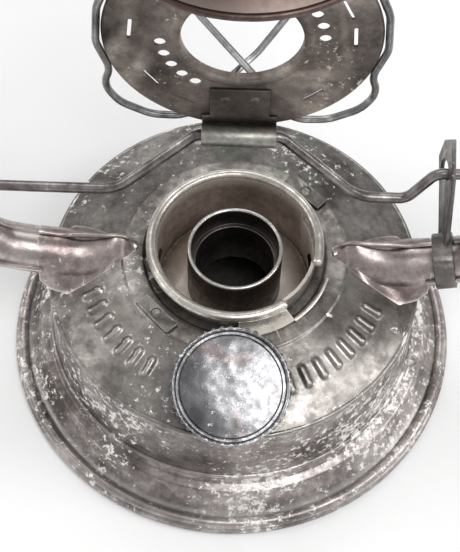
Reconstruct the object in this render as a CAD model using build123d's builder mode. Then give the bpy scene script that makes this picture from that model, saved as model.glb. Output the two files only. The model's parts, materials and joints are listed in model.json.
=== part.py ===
from build123d import *
import os
from math import atan2, cos, radians, sin, sqrt, tan

# Small side-tube storm lantern, opened for filling: the globe cage is tilted back on its wire.
# Millimetres. Z is up and zero on the table, X runs to the right tube, -Y is the filler side.

# Sheet, wire and clearances
sheet = 0.9             # thickness of the pressed sheet
solder_gap = 0.05       # between soldered pieces
run_gap = 0.08          # round a wire or pin that turns
slide_gap = 0.4         # round a piece that slides
slot_gap = 0.3          # beside the wire in the quadrant's slot

# Tank: foot, wall and dome. Insets are counted from the foot's outer edge
base_radius = 65.0
rim_roll_radius = 1.6
rim_wear = 0.1                          # what standing has worn off the roll
second_roll_radius = 1.5
second_roll_inset = 0.8
second_roll_rise = 1.9
foot_flare_inset = 6.5
foot_flare_z = 6.2
foot_flare_bend = 6.0
foot_top_inset = 8.7
foot_top_z = 10.4
foot_top_bend = 1.0
cove_inset = 11.1
cove_z = 11.1
cove_bend = 1.2
wall_foot_inset = 12.3
wall_foot_z = 13.3
wall_foot_bend = 1.0
wall_top_inset = 14.0
wall_top_z = 35.1
wall_bead_radius = 0.8
dome_bead_radius = 0.75
dome_edge_rise = 0.5
dome_mid_inset = 24.0
dome_mid_z = 41.0
ledge_radius = 30.7
ledge_z = 44.6
ledge_step = 0.6
ledge_inner_radius = 25.6
ledge_dip = 1.6
ledge_dip_width = 1.2
wall_top_radius = base_radius - wall_top_inset
dome_mid_radius = base_radius - dome_mid_inset

# Bottom pan
pan_floor_z = 3.8
pan_rim_z = 2.0
pan_rim_width = 3.0
pan_step_width = 5.0

# Pressed ribs on the dome, left and right of the filler
rib_length = 6.4
rib_width = 2.3
rib_height = 0.8
rib_mid_inset = 24.8
rib_lift = 0.2
rib_step_deg = 6.6
rib_groups = ((197.5, 7), (292.5, 8))   # first rib's direction in degrees, number of ribs

# Burner cup and neck
cup_radius = 22.2
cup_bead_ring_radius = 22.8
cup_bead_radius = 1.45
cup_bead_z = 49.8
cup_floor_z = 28.0
shaft_gap_mid_deg = -33.7
shaft_gap_deg = 43.0
shaft_gap_z = 45.9
shaft_lip_reach = 4.2
shaft_lip_drop = 0.7
shaft_lip_deg = 35.0
neck_outer_radius = 13.1
neck_bore_radius = 12.0
neck_seat_radius = 10.8
neck_seat_z = 41.0
neck_top_z = 47.6
neck_foot_z = 25.0
neck_rim_round = 0.4

# Spring clips on the ledge
clip_length = 13.0
clip_width = 4.2
clip_height = 1.0
clip_corner = 0.6
clip_mid_radius = 28.5
clip_directions_deg = (47.0, -136.0)
clip_dimple_radius = 1.3
clip_dimple_taper_deg = 20.0

# Filler
filler_inset = 21.0
filler_z = 52.0
filler_tilt_deg = 24.0
cap_radius = 15.6
cap_height = 8.5
cap_scallops = 43
cap_scallop_radius = 0.85
cap_scallop_depth = 0.45
cap_disc_radius = 13.1
cap_channel_radius = 14.1
cap_channel_depth = 1.5
cap_crown_drop = 0.7
cap_crown_rise = 0.5
cap_thickness = 0.9
cap_edge = 0.6
filler_neck_radius = 12.0
filler_neck_depth = 15.0
filler_rim_width = 2.6
filler_rim_thickness = 1.2
filler_rim_slope = 0.8
gasket_inner_radius = 9.5
gasket_thickness = 1.4

# Side tubes
tube_radius = 6.5
tube_wall = 0.8
tube_outset = 8.5                       # from the foot's edge to the tube's axis
tube_slope_deg = 14.5
tube_on_dome_inset = 20.0
tube_on_dome_z = 41.0
tube_low_bend = 16.5
tube_high_bend = 18.0
tube_top_z = 203.0
fin_thickness = 0.9
fin_height = 1.2
fin_root = 0.5                          # how deep a fin is let into the tube
fin_start_left = 2.5                    # from the wall's top edge to where the seam starts
fin_start_right = 10.0
fin_end_before = 21.5                   # from the tube's axis to where the seam stops on top
fin_directions_deg = (12.0, -83.0)      # round the tube from its upper side, towards the back
tube_x = base_radius + tube_outset
tube_on_dome_x = base_radius - tube_on_dome_inset

# Saddles under the tubes
saddle_tip_x = 27.6
saddle_tail = 2.0                       # how far it stands out past the wall
saddle_half_width = 11.2
saddle_end_half_width = 7.2
saddle_end_spread = 1.0
saddle_end_lean = 0.8
saddle_crown_half_width = 1.6
saddle_crown_z = 49.0
saddle_crown_scale = 0.96
saddle_root_z = 34.0
saddle_root_spread = 5.0
saddle_fullness = 0.62                  # share of the full width halfway to the tip

# Lifter wire: a crank whose offsets all lie in one plane
wire_radius = 1.5
crank_y = 14.0
crank_z = 53.5
crank_throw = 20.5
crank_raised_deg = 77.0
crank_lowered_deg = 9.0
crank_neck_x = 11.3
crank_neck_bend = 3.5
crank_shoulder_x = 33.0
crank_shoulder_bend = 10.0
crank_bend = 4.0
quadrant_outset = 6.0                   # from the wall's top edge to the quadrant
quadrant_throw = 9.4
quadrant_bend_before = 10.5
quadrant_bend_run = 7.0
lever_outset = 11.0                     # from the tube's axis to the lever
lever_length = 20.0
lever_kick = 3.0
hook_outset = 6.5
hook_length = 7.0
hook_bend = 2.5
quadrant_x = wall_top_radius + quadrant_outset
quadrant_bend_x = quadrant_x - quadrant_bend_before
lever_x = tube_x + lever_outset
hook_x = -tube_x - hook_outset

# Quadrant and bearing that hold the wire
quadrant_thickness = 1.1
quadrant_collar_wall = 1.2
quadrant_collar_length = 5.5
quadrant_collar_start = 2.0
quadrant_spare_deg = 1.0
quadrant_outline = ((-1.28, 0.37), (-0.43, 1.54), (0.69, 2.02), (1.49, 0.90), (1.70, -0.16), (0.85, -0.43))
bearing_thickness = 1.2
bearing_strap_wall = 1.0
bearing_strap_y = 2.8
bearing_eye = 4.0
bearing_low_z = 64.0
bearing_high_z = 71.0

# Globe cage
barrel_half = 9.8
barrel_wall = 0.7
knuckle_wall = 0.7
plate_thickness = 0.8
plate_radius = 34.3
plate_rim_radius = 1.0
plate_hole_radius = 15.0
plate_collar_radius = 16.4
plate_collar_height = 2.5
plate_holes_radius = 20.1
plate_hole_size = 1.5
plate_hole_step_deg = 12.6
plate_hole_starts_deg = (4.0, 184.8)
plate_holes_in_row = 5
slot_ring_radius = 27.4
slot_length = 7.0
slot_width = 0.9
slot_directions_deg = (4.7, 25.5, 62.0, 118.0, 173.8, 214.5, 237.8, 312.2)
leaf_half = 7.7
leaf_reach = 16.0
leaf_shoulder = 5.2
leaf_narrow_start = 3.0
leaf_thickness = 0.7
leaf_rivet_radius = 1.3
leaf_rivet_inset = 4.0
leaf_rivet_height = 0.6
leaf_rivet_taper_deg = 25.0
guard_radius = 1.0
guard_rim_gap = 0.1
guard_band_radius = 36.0
guard_ear_radius = 41.5
guard_belly_radius = 38.3
guard_cross_shift = 1.4
guard_ring_radius = 21.5
guard_ring_height = 76.5
guard_bend = 8.0

# Air drum that joins the tubes at the top
drum_radius = 33.0
drum_foot_z = 193.0
drum_top_z = 213.0
drum_lid_rise = 2.5
drum_lid_step = 3.0
drum_bend = 3.0
drum_rim_radius = 1.0

# Chimney that slides through the drum
chimney_radius = 15.5
hood_lip_radius = 31.0
hood_lip_z = 175.2
hood_lip_roll = 0.8
hood_shoulder_radius = 26.0
hood_shoulder_z = 179.6
hood_shoulder_bend = 8.0
hood_crown_inset = 6.0
hood_crown_bend = 2.0
hood_top_z = 182.4
collar_radius = 20.5
collar_thickness = 0.9
spring_wire_radius = 0.55
spring_mean_radius = 18.2
spring_turns = 4.5
vent_foot_z = 220.0
vent_band_radius = 22.5
vent_band_height = 11.0
vent_count = 14
vent_hole_radius = 2.0
roof_radius = 27.5
roof_edge_drop = 4.0
roof_edge_width = 1.5
roof_edge_bend = 1.5
roof_seat_drop = 0.3
roof_seat_rise = 2.4
roof_seat_inset = 3.0
roof_seat_bend = 3.0
roof_shoulder_radius = 9.0
roof_shoulder_z = 243.0
roof_shoulder_bend = 2.0
roof_top_radius = 7.5
roof_top_z = 249.0
roof_top_bend = 3.0

# Bail
bail_radius = 1.3
bail_pivot_z = 215.5
ear_inset = 27.5                        # from the tube's axis
ear_thickness = 1.2
ear_half_width = 4.0
ear_root = 2.0
bail_arm_outset = 6.0                   # these three from the ear
bail_wide_outset = 16.0
bail_hook_inset = 3.5
bail_wide_z = 250.0
bail_top_z = 302.0
bail_hook_rise = 4.0
bail_arch_bend = 34.0
bail_foot_bend = 4.0
bail_hook_bend = 2.2
ear_x = tube_x - ear_inset

os.makedirs("parts", exist_ok=True)


def polar(radius, angle_deg):
    """Point on a circle in the XY plane."""
    return (radius * cos(radians(angle_deg)), radius * sin(radians(angle_deg)))


def finish(part, name):
    """Label one finished piece and write its file."""
    part.label = name
    export_step(part, f"parts/{name}.step")


def tube_axis_z(x):
    """Height of the tube's axis over the dome at a distance x from the middle."""
    return tube_on_dome_z + (x - tube_on_dome_x) * tan(radians(tube_slope_deg))


def tube_cutter(side):
    """Room for the straight lower run of one tube, a little wider than the tube."""
    start = Vector(side * neck_outer_radius, 0, tube_axis_z(neck_outer_radius))
    end = Vector(side * fin_starts["right"], 0, tube_axis_z(fin_starts["right"]))
    run = Plane(origin=start, x_dir=(0, 1, 0), z_dir=end - start)
    return run * Cylinder(
        tube_radius + solder_gap,
        (end - start).length,
        align=(Align.CENTER, Align.CENTER, Align.MIN),
        mode=Mode.PRIVATE,
    )


sides = {"left": -1, "right": 1}
fin_starts = {"left": wall_top_radius + fin_start_left, "right": wall_top_radius + fin_start_right}
cutters = {name: tube_cutter(side) for name, side in sides.items()}

filler_tilt = radians(filler_tilt_deg)
filler_y = filler_inset - base_radius
filler_axis_dir = Vector(0, -sin(filler_tilt), cos(filler_tilt))
filler_top = Vector(0, filler_y, filler_z)
filler_axis = Axis(filler_top, filler_axis_dir)
filler_section = Plane(origin=filler_top, x_dir=(1, 0, 0), z_dir=(0, -cos(filler_tilt), -sin(filler_tilt)))
filler_plane = Plane(origin=filler_top, x_dir=(1, 0, 0), z_dir=filler_axis_dir)

# Foot and wall of the tank, one drawn shell with a double roll round its foot
roll_x = base_radius - rim_roll_radius
second_roll_x = roll_x - second_roll_inset
second_roll_z = rim_roll_radius + second_roll_rise
wall_foot_radius = base_radius - wall_foot_inset
with BuildPart() as fount_shell:
    with BuildSketch(Plane.XZ):
        with BuildLine():
            FilletPolyline(
                (second_roll_x - sheet, second_roll_z),
                (base_radius - foot_flare_inset, foot_flare_z),
                (base_radius - foot_top_inset, foot_top_z),
                (base_radius - cove_inset, cove_z),
                (wall_foot_radius, wall_foot_z),
                (wall_top_radius, wall_top_z),
                radius=(foot_flare_bend, foot_top_bend, cove_bend, wall_foot_bend),
            )
            offset(amount=sheet, side=Side.LEFT)
        make_face()
        with Locations((roll_x, rim_roll_radius - rim_wear)):
            Circle(rim_roll_radius)
        with Locations((second_roll_x, second_roll_z)):
            Circle(second_roll_radius)
        with Locations((wall_foot_radius, wall_foot_z)):
            Circle(wall_bead_radius)
        with Locations((roll_x, -rim_wear)):
            Rectangle(2 * rim_roll_radius, 2 * rim_wear, mode=Mode.SUBTRACT)
    revolve(axis=Axis.Z)
finish(fount_shell.part, "fount_shell")

# Bottom pan, let into the foot clear of the table
pan_radius = roll_x - rim_roll_radius - solder_gap
with BuildPart() as fount_bottom:
    with BuildSketch(Plane.XZ):
        with BuildLine():
            Polyline(
                (0, pan_floor_z),
                (pan_radius - pan_rim_width - pan_step_width, pan_floor_z),
                (pan_radius - pan_rim_width, pan_rim_z),
                (pan_radius, pan_rim_z),
            )
            offset(amount=sheet, side=Side.RIGHT)
        make_face()
    revolve(axis=Axis.Z)
finish(fount_bottom.part, "fount_bottom")

# Dome with its ledge, folded over the wall, pierced for the tubes and the filler
dome_edge_radius = wall_top_radius
dome_edge_z = wall_top_z + dome_bead_radius
dome_foot_z = dome_edge_z + dome_edge_rise
dome_hole_radius = cup_radius + solder_gap
with BuildPart() as fount_dome:
    with BuildSketch(Plane.XZ):
        with BuildLine():
            rise = ThreePointArc(
                (dome_edge_radius, dome_foot_z),
                (dome_mid_radius, dome_mid_z),
                (ledge_radius + ledge_step, ledge_z - ledge_step),
            )
            Polyline(
                rise @ 1,
                (ledge_radius, ledge_z),
                (ledge_inner_radius, ledge_z),
                (ledge_inner_radius - ledge_dip_width, ledge_z - ledge_dip),
                (dome_hole_radius, ledge_z - ledge_dip),
            )
            offset(amount=sheet, side=Side.LEFT)
        make_face()
        with Locations((dome_edge_radius, dome_edge_z)):
            Circle(dome_bead_radius)
    revolve(axis=Axis.Z)
    rib_slope = atan2(ledge_z - dome_edge_z, dome_edge_radius - ledge_radius)
    rib_mid_radius = base_radius - rib_mid_inset
    rib_z = dome_mid_z + rib_lift
    rib_planes = []
    for first_deg, rib_count in rib_groups:
        for index in range(rib_count):
            angle = first_deg + index * rib_step_deg
            out = Vector(*polar(1, angle), 0)
            origin = out * rib_mid_radius + Vector(0, 0, rib_z)
            slope_dir = out * cos(rib_slope) + Vector(0, 0, -sin(rib_slope))
            normal = out * sin(rib_slope) + Vector(0, 0, cos(rib_slope))
            rib_planes.append(Plane(origin=origin, x_dir=slope_dir, z_dir=normal))
    with BuildSketch(*rib_planes):
        SlotOverall(rib_length, rib_width)
    extrude(amount=rib_height / 2, both=True)
    for cutter in cutters.values():
        add(cutter, mode=Mode.SUBTRACT)
    with BuildSketch(filler_plane):
        Circle(filler_neck_radius + solder_gap)
    extrude(amount=-filler_neck_depth, mode=Mode.SUBTRACT)
finish(fount_dome.part, "fount_dome")

# Burner cup: a deep well with a rolled lip, opened at the front right for the wick shaft,
# where the metal is folded out into a small flared flap
lip_start_deg = shaft_gap_mid_deg - shaft_lip_deg / 2
lip_plane = Plane(
    origin=(0, 0, 0),
    x_dir=(*polar(1, lip_start_deg), 0),
    z_dir=(sin(radians(lip_start_deg)), -cos(radians(lip_start_deg)), 0),
)
with BuildPart() as burner_cup:
    with BuildSketch(Plane.XZ):
        with BuildLine():
            Polyline(
                (cup_radius, cup_bead_z),
                (cup_radius, cup_floor_z),
                (neck_outer_radius + solder_gap, cup_floor_z),
            )
            offset(amount=sheet, side=Side.RIGHT)
        make_face()
        with Locations((cup_bead_ring_radius, cup_bead_z)):
            Circle(cup_bead_radius)
    revolve(axis=Axis.Z)
    reach = cup_bead_ring_radius + 3 * cup_bead_radius
    with BuildSketch(Plane.XY.offset(shaft_gap_z)):
        with BuildLine():
            Polyline(
                (0, 0),
                polar(reach, shaft_gap_mid_deg - shaft_gap_deg / 2),
                polar(reach, shaft_gap_mid_deg + shaft_gap_deg / 2),
                close=True,
            )
        make_face()
    extrude(amount=cup_bead_z - shaft_gap_z + 2 * cup_bead_radius, mode=Mode.SUBTRACT)
    for cutter in cutters.values():
        add(cutter, mode=Mode.SUBTRACT)
    with BuildSketch(lip_plane):
        with BuildLine():
            Line(
                (cup_radius - sheet / 2, shaft_gap_z),
                (cup_radius + shaft_lip_reach, shaft_gap_z - shaft_lip_drop),
            )
            offset(amount=sheet / 2, side=Side.RIGHT)
        make_face()
    revolve(axis=Axis.Z, revolution_arc=shaft_lip_deg)
finish(burner_cup.part, "burner_cup")

# Burner neck, with the seat that the burner screws down on
with BuildPart() as burner_neck:
    with BuildSketch(Plane.XZ):
        with BuildLine():
            Polyline(
                (neck_bore_radius, neck_top_z),
                (neck_outer_radius, neck_top_z),
                (neck_outer_radius, neck_foot_z),
                (neck_seat_radius, neck_foot_z),
                (neck_seat_radius, neck_seat_z),
                (neck_bore_radius, neck_seat_z),
                close=True,
            )
        make_face()
    revolve(axis=Axis.Z)
    fillet(burner_neck.edges().group_by(Axis.Z)[-1], neck_rim_round)
finish(burner_neck.part, "burner_neck")

# Two spring clips on the ledge
with BuildPart() as ledge_clips:
    for direction in clip_directions_deg:
        clip_plane = Plane(
            origin=(*polar(clip_mid_radius, direction), ledge_z),
            x_dir=(*polar(1, direction + 90), 0),
            z_dir=(0, 0, 1),
        )
        with BuildSketch(clip_plane):
            RectangleRounded(clip_length, clip_width, clip_corner)
        extrude(amount=clip_height)
        with BuildSketch(clip_plane.offset(clip_height / 2)):
            Circle(clip_dimple_radius)
        extrude(amount=clip_height, taper=-clip_dimple_taper_deg, mode=Mode.SUBTRACT)
finish(ledge_clips.part, "ledge_clips")

# Filler neck, square to the dome's slope
neck_rim_s = -(cap_crown_drop + cap_thickness + gasket_thickness + 3 * solder_gap)
with BuildPart() as filler_neck:
    with BuildSketch(filler_section):
        with BuildLine():
            Polyline(
                (filler_neck_radius, neck_rim_s),
                (filler_neck_radius, -filler_neck_depth),
                (filler_neck_radius - sheet, -filler_neck_depth),
                (filler_neck_radius - sheet, neck_rim_s - filler_rim_thickness - filler_rim_slope),
                (filler_neck_radius - filler_rim_width, neck_rim_s - filler_rim_thickness),
                (filler_neck_radius - filler_rim_width, neck_rim_s),
                close=True,
            )
        make_face()
    revolve(axis=filler_axis)
finish(filler_neck.part, "filler_neck")

# Cork ring that seals the cap
with BuildPart() as filler_gasket:
    with BuildSketch(filler_plane.offset(neck_rim_s + solder_gap)):
        Circle(filler_neck_radius - solder_gap)
        Circle(gasket_inner_radius, mode=Mode.SUBTRACT)
    extrude(amount=gasket_thickness)
finish(filler_gasket.part, "filler_gasket")

# Filler cap: scalloped screw cap with a sunk channel and a crowned middle
cap_roof_s = neck_rim_s + gasket_thickness + 2 * solder_gap
cap_top_s = cap_roof_s + cap_thickness
cap_bore_radius = filler_neck_radius + slide_gap
with BuildPart() as filler_cap:
    with BuildSketch(filler_section):
        with BuildLine():
            crown = ThreePointArc(
                (0, cap_top_s + cap_crown_rise),
                (cap_disc_radius / 2, cap_top_s + 3 * cap_crown_rise / 4),
                (cap_disc_radius, cap_top_s),
            )
            Polyline(
                crown @ 1,
                (cap_disc_radius, -cap_channel_depth),
                (cap_channel_radius, -cap_channel_depth),
                (cap_channel_radius, -cap_edge / 2),
                (cap_channel_radius + cap_edge, 0),
                (cap_radius - cap_edge, 0),
                (cap_radius, -cap_edge),
                (cap_radius, cap_edge - cap_height),
                (cap_radius - cap_edge, -cap_height),
                (cap_bore_radius, -cap_height),
                (cap_bore_radius, cap_roof_s),
                (0, cap_roof_s),
                crown @ 0,
            )
        make_face()
    revolve(axis=filler_axis)
    with BuildSketch(filler_plane):
        with PolarLocations(cap_radius + cap_scallop_radius - cap_scallop_depth, cap_scallops):
            Circle(cap_scallop_radius)
    extrude(amount=-cap_height, mode=Mode.SUBTRACT)
finish(filler_cap.part, "filler_cap")

# Saddles: leaf-shaped skirts that carry the tubes on the dome
with BuildPart() as dome_fill:
    with BuildSketch(Plane.XZ):
        with BuildLine():
            skin = ThreePointArc(
                (dome_edge_radius, dome_foot_z),
                (dome_mid_radius, dome_mid_z),
                (ledge_radius + ledge_step, ledge_z - ledge_step),
            )
            Polyline(
                skin @ 1,
                (ledge_radius, ledge_z),
                (0, ledge_z),
                (0, 0),
                (base_radius, 0),
                (base_radius, dome_foot_z),
                skin @ 0,
            )
        make_face()
        with Locations((dome_edge_radius, dome_edge_z)):
            Circle(dome_bead_radius + solder_gap)
    revolve(axis=Axis.Z)


def leaf_outline(scale, end_x, half_width, end_half):
    """Leaf seen from above, for the right-hand saddle."""
    wide_x = tube_on_dome_x
    tip_x = wide_x - (wide_x - saddle_tip_x) * scale
    full = half_width * saddle_fullness
    upper = ThreePointArc((tip_x, 0), ((tip_x + wide_x) / 2, full), (wide_x, half_width))
    upper_end = Line(upper @ 1, (end_x, end_half))
    end = Line(upper_end @ 1, (end_x, -end_half))
    lower_end = Line(end @ 1, (wide_x, -half_width))
    ThreePointArc(lower_end @ 1, ((tip_x + wide_x) / 2, -full), (tip_x, 0))


saddle_end_x = wall_top_radius + saddle_tail
root_half = saddle_half_width + saddle_root_spread
root_end_half = saddle_end_half_width + saddle_end_spread
crown_half = saddle_crown_half_width
with BuildPart() as saddle_right:
    with BuildSketch(Plane.XY.offset(saddle_root_z)):
        with BuildLine():
            leaf_outline(1, saddle_end_x, root_half, root_end_half)
        make_face()
    with BuildSketch(Plane.XY.offset(saddle_crown_z)):
        with BuildLine():
            leaf_outline(saddle_crown_scale, saddle_end_x - saddle_end_lean, crown_half, crown_half)
        make_face()
    loft(ruled=True)
    add(dome_fill.part, mode=Mode.SUBTRACT)
    add(cutters["right"], mode=Mode.SUBTRACT)
finish(saddle_right.part, "saddle_right")

with BuildPart() as saddle_left:
    mirror(saddle_right.part, about=Plane.YZ)
finish(saddle_left.part, "saddle_left")

# Side tubes: each of two pressed sheets whose seams stand out as fins above and in front
tube_start_x = sqrt((cup_radius - sheet) ** 2 - tube_radius**2)
for name, side in sides.items():
    corner = (side * tube_x, tube_axis_z(tube_x))
    top_corner = (side * tube_x, tube_top_z)
    start = (side * tube_start_x, tube_axis_z(tube_start_x))
    fin_start = (side * fin_starts[name], tube_axis_z(fin_starts[name]))
    tube_end = (side * (drum_radius - 3 * sheet), tube_top_z)
    fin_stop = (side * (tube_x - fin_end_before), tube_top_z)
    bends = (tube_low_bend, tube_high_bend)
    with BuildPart() as side_tube:
        with BuildLine(Plane.XZ) as tube_path:
            FilletPolyline(start, corner, top_corner, tube_end, radius=bends)
        with BuildSketch(Plane(origin=tube_path.line @ 0, z_dir=tube_path.line % 0)):
            Circle(tube_radius)
        sweep(path=tube_path.line)
        with BuildLine(Plane.XZ) as fin_path:
            FilletPolyline(fin_start, corner, top_corner, fin_stop, radius=bends)
        with BuildSketch(Plane(origin=fin_path.line @ 0, x_dir=(0, side, 0), z_dir=fin_path.line % 0)):
            for direction in fin_directions_deg:
                turn = -side * direction
                middle = polar(tube_radius + (fin_height - fin_root) / 2, 90 + turn)
                with Locations(Location((*middle, 0), (0, 0, turn))):
                    Rectangle(fin_thickness, fin_height + fin_root)
        sweep(path=fin_path.line)
        with BuildSketch(Plane(origin=tube_path.line @ 0, z_dir=tube_path.line % 0)):
            Circle(tube_radius - tube_wall)
        sweep(path=tube_path.line, mode=Mode.SUBTRACT)
    with BuildPart() as well:
        Cylinder(
            cup_radius - sheet,
            neck_top_z,
            align=(Align.CENTER, Align.CENTER, Align.MIN),
        )
    with BuildPart() as trimmed_tube:
        add(side_tube.part)
        add(well.part, mode=Mode.SUBTRACT)
    finish(trimmed_tube.part, f"tube_{name}")

# Lifter wire
crank_angle = radians(crank_raised_deg)
crank_plane = Plane(
    origin=(0, crank_y, crank_z),
    x_dir=(1, 0, 0),
    z_dir=(0, -sin(crank_angle), cos(crank_angle)),
)
with BuildPart() as lifter_wire:
    with BuildLine(crank_plane) as wire_path:
        FilletPolyline(
            (hook_x, -hook_length),
            (hook_x, 0),
            (-crank_shoulder_x, 0),
            (-crank_neck_x, crank_throw),
            (crank_neck_x, crank_throw),
            (crank_shoulder_x, 0),
            (quadrant_bend_x, 0),
            (quadrant_bend_x + quadrant_bend_run, quadrant_throw),
            (lever_x, quadrant_throw),
            (lever_x, -lever_length),
            (lever_x + lever_kick, -lever_length - 2 * lever_kick),
            radius=(
                hook_bend,
                crank_shoulder_bend,
                crank_neck_bend,
                crank_neck_bend,
                crank_shoulder_bend,
                crank_bend,
                crank_bend,
                crank_bend,
                crank_bend,
            ),
        )
    with BuildSketch(Plane(origin=wire_path.line @ 0, z_dir=wire_path.line % 0)):
        Circle(wire_radius)
    sweep(path=wire_path.line)
finish(lifter_wire.part, "lifter_wire")

# Quadrant on the right tube: the wire's offset rides in its arc slot
run_dir = Vector(cos(radians(tube_slope_deg)), 0, sin(radians(tube_slope_deg)))
quadrant_run_x = quadrant_x - quadrant_collar_start
quadrant_run = Plane(origin=(quadrant_run_x, 0, tube_axis_z(quadrant_run_x)), z_dir=run_dir)
slot_half = wire_radius + slot_gap
slot_start_deg = crank_lowered_deg - quadrant_spare_deg
slot_sweep_deg = crank_raised_deg - crank_lowered_deg + 2 * quadrant_spare_deg
slot_arc = CenterArc((crank_y, crank_z), quadrant_throw, slot_start_deg, slot_sweep_deg)
tube_here_z = tube_axis_z(quadrant_x)
quadrant_edge = [(crank_y + quadrant_throw * y, crank_z + quadrant_throw * z) for y, z in quadrant_outline]
with BuildPart() as lift_quadrant:
    with BuildSketch(Plane.YZ.offset(quadrant_x - quadrant_thickness / 2)):
        with BuildLine():
            Polyline(
                (0, tube_here_z + tube_radius + quadrant_collar_wall),
                *quadrant_edge,
                (tube_radius, tube_here_z - wire_radius),
                (0, tube_here_z),
                close=True,
            )
        make_face()
        SlotArc(slot_arc, 2 * slot_half, mode=Mode.SUBTRACT)
    extrude(amount=quadrant_thickness)
    with BuildSketch(quadrant_run):
        Circle(tube_radius + quadrant_collar_wall)
    extrude(amount=quadrant_collar_length)
    add(cutters["right"], mode=Mode.SUBTRACT)
finish(lift_quadrant.part, "lift_quadrant")

# Bearing on the back of the left tube for the wire's straight end
bore_radius = wire_radius + run_gap
with BuildPart() as wire_bearing:
    with BuildSketch(Plane.XY.offset(bearing_low_z)):
        with Locations((-tube_x, 0)):
            Circle(tube_radius + solder_gap + bearing_strap_wall)
            Circle(tube_radius + solder_gap, mode=Mode.SUBTRACT)
        with Locations((-tube_x, bearing_strap_y - 3 * tube_radius / 2)):
            Rectangle(3 * tube_radius, 3 * tube_radius, mode=Mode.SUBTRACT)
    extrude(amount=bearing_high_z - bearing_low_z)
    with BuildSketch(Plane.YZ.offset(-tube_x - bearing_thickness / 2)):
        with BuildLine():
            Polyline(
                (tube_radius + bearing_strap_wall / 2, bearing_high_z),
                (tube_radius + bearing_strap_wall / 2, bearing_low_z),
                (crank_y - bearing_eye, crank_z - bearing_eye / 4),
                (crank_y - 0.6 * bearing_eye, crank_z - bearing_eye),
                (crank_y + 0.6 * bearing_eye, crank_z - bearing_eye),
                (crank_y + bearing_eye, crank_z),
                (crank_y + 0.75 * bearing_eye, crank_z + 1.25 * bearing_eye),
                (tube_radius + bearing_eye, bearing_high_z),
                close=True,
            )
        make_face()
        with Locations((crank_y, crank_z)):
            Circle(bore_radius, mode=Mode.SUBTRACT)
    extrude(amount=bearing_thickness)
finish(wire_bearing.part, "wire_bearing")

# Hinge barrel on the wire, and the cage that turns on it
hinge_y = crank_y + crank_throw * cos(crank_angle)
hinge_z = crank_z + crank_throw * sin(crank_angle)
barrel_radius = wire_radius + run_gap + barrel_wall
knuckle_inner = barrel_radius + run_gap
knuckle_outer = knuckle_inner + knuckle_wall
plate_reach = crank_y + crank_throw     # from the hinge axis to the plate's middle
plate_y = hinge_y + knuckle_outer       # the plate's underside lies on the knuckle
plate_mid_z = hinge_z + plate_reach
plate_plane = Plane(origin=(0, plate_y, plate_mid_z), x_dir=(1, 0, 0), z_dir=(0, 1, 0))
# On this plane x runs right, y runs down to the hinge and z runs into the cage

with BuildPart() as hinge_barrel:
    with BuildSketch(Plane.YZ.offset(-barrel_half)):
        with Locations((hinge_y, hinge_z)):
            Circle(barrel_radius)
            Circle(wire_radius + run_gap, mode=Mode.SUBTRACT)
    extrude(amount=2 * barrel_half)
finish(hinge_barrel.part, "hinge_barrel")

# Hinge leaf: rolled round the barrel and riveted under the plate
leaf_mid_z = hinge_z + (leaf_reach + leaf_narrow_start) / 2
with BuildPart() as hinge_leaf:
    with BuildSketch(Plane.YZ.offset(-barrel_half)):
        with Locations((hinge_y, hinge_z)):
            Circle(knuckle_outer)
        with Locations((plate_y - leaf_thickness / 2, hinge_z + leaf_shoulder / 2)):
            Rectangle(leaf_thickness, leaf_shoulder)
        with Locations((hinge_y, hinge_z)):
            Circle(knuckle_inner, mode=Mode.SUBTRACT)
    extrude(amount=2 * barrel_half)
    with BuildSketch(Plane.XZ.offset(-plate_y + leaf_thickness)):
        with Locations((0, leaf_mid_z)):
            Rectangle(2 * leaf_half, leaf_reach - leaf_narrow_start)
    extrude(amount=-leaf_thickness)
finish(hinge_leaf.part, "hinge_leaf")

# Perforated globe plate with a rolled rim and a collar round its hole
with BuildPart() as globe_plate:
    with BuildSketch(plate_plane):
        Circle(plate_radius - plate_rim_radius)
        Circle(plate_hole_radius, mode=Mode.SUBTRACT)
        for first_deg in plate_hole_starts_deg:
            for index in range(plate_holes_in_row):
                angle = first_deg + index * plate_hole_step_deg
                with Locations(polar(plate_holes_radius, -angle)):
                    Circle(plate_hole_size, mode=Mode.SUBTRACT)
        for angle in slot_directions_deg:
            with Locations(Location((*polar(slot_ring_radius, -angle), 0), (0, 0, 90 - angle))):
                SlotOverall(slot_length, slot_width, mode=Mode.SUBTRACT)
    extrude(amount=plate_thickness)
    with BuildSketch(plate_plane):
        Circle(plate_collar_radius)
        Circle(plate_hole_radius, mode=Mode.SUBTRACT)
    extrude(amount=plate_collar_height)
    rim_axis = Axis((0, plate_y, plate_mid_z), (0, 1, 0))
    with BuildSketch(Plane.XY.offset(plate_mid_z)):
        with Locations((plate_radius - plate_rim_radius, plate_y + plate_rim_radius)):
            Circle(plate_rim_radius)
    revolve(axis=rim_axis)
finish(globe_plate.part, "globe_plate")

# Rivets that hold the leaf to the plate
rivet_z = hinge_z + leaf_reach - leaf_rivet_inset
with BuildPart() as leaf_rivets:
    for x in (-leaf_half / 2, leaf_half / 2):
        rivet_plane = Plane(origin=(x, plate_y - leaf_thickness, rivet_z), z_dir=(0, -1, 0))
        with BuildSketch(rivet_plane):
            Circle(leaf_rivet_radius)
        extrude(amount=leaf_rivet_height, taper=leaf_rivet_taper_deg)
finish(leaf_rivets.part, "leaf_rivets")


def cage_point(angle_deg, radius, height):
    """Point of the cage, by direction from the right, radius and height over the plate's underside."""
    x, toward_hinge = polar(radius, angle_deg)
    return (x, plate_y + height, plate_mid_z - toward_hinge)


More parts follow.
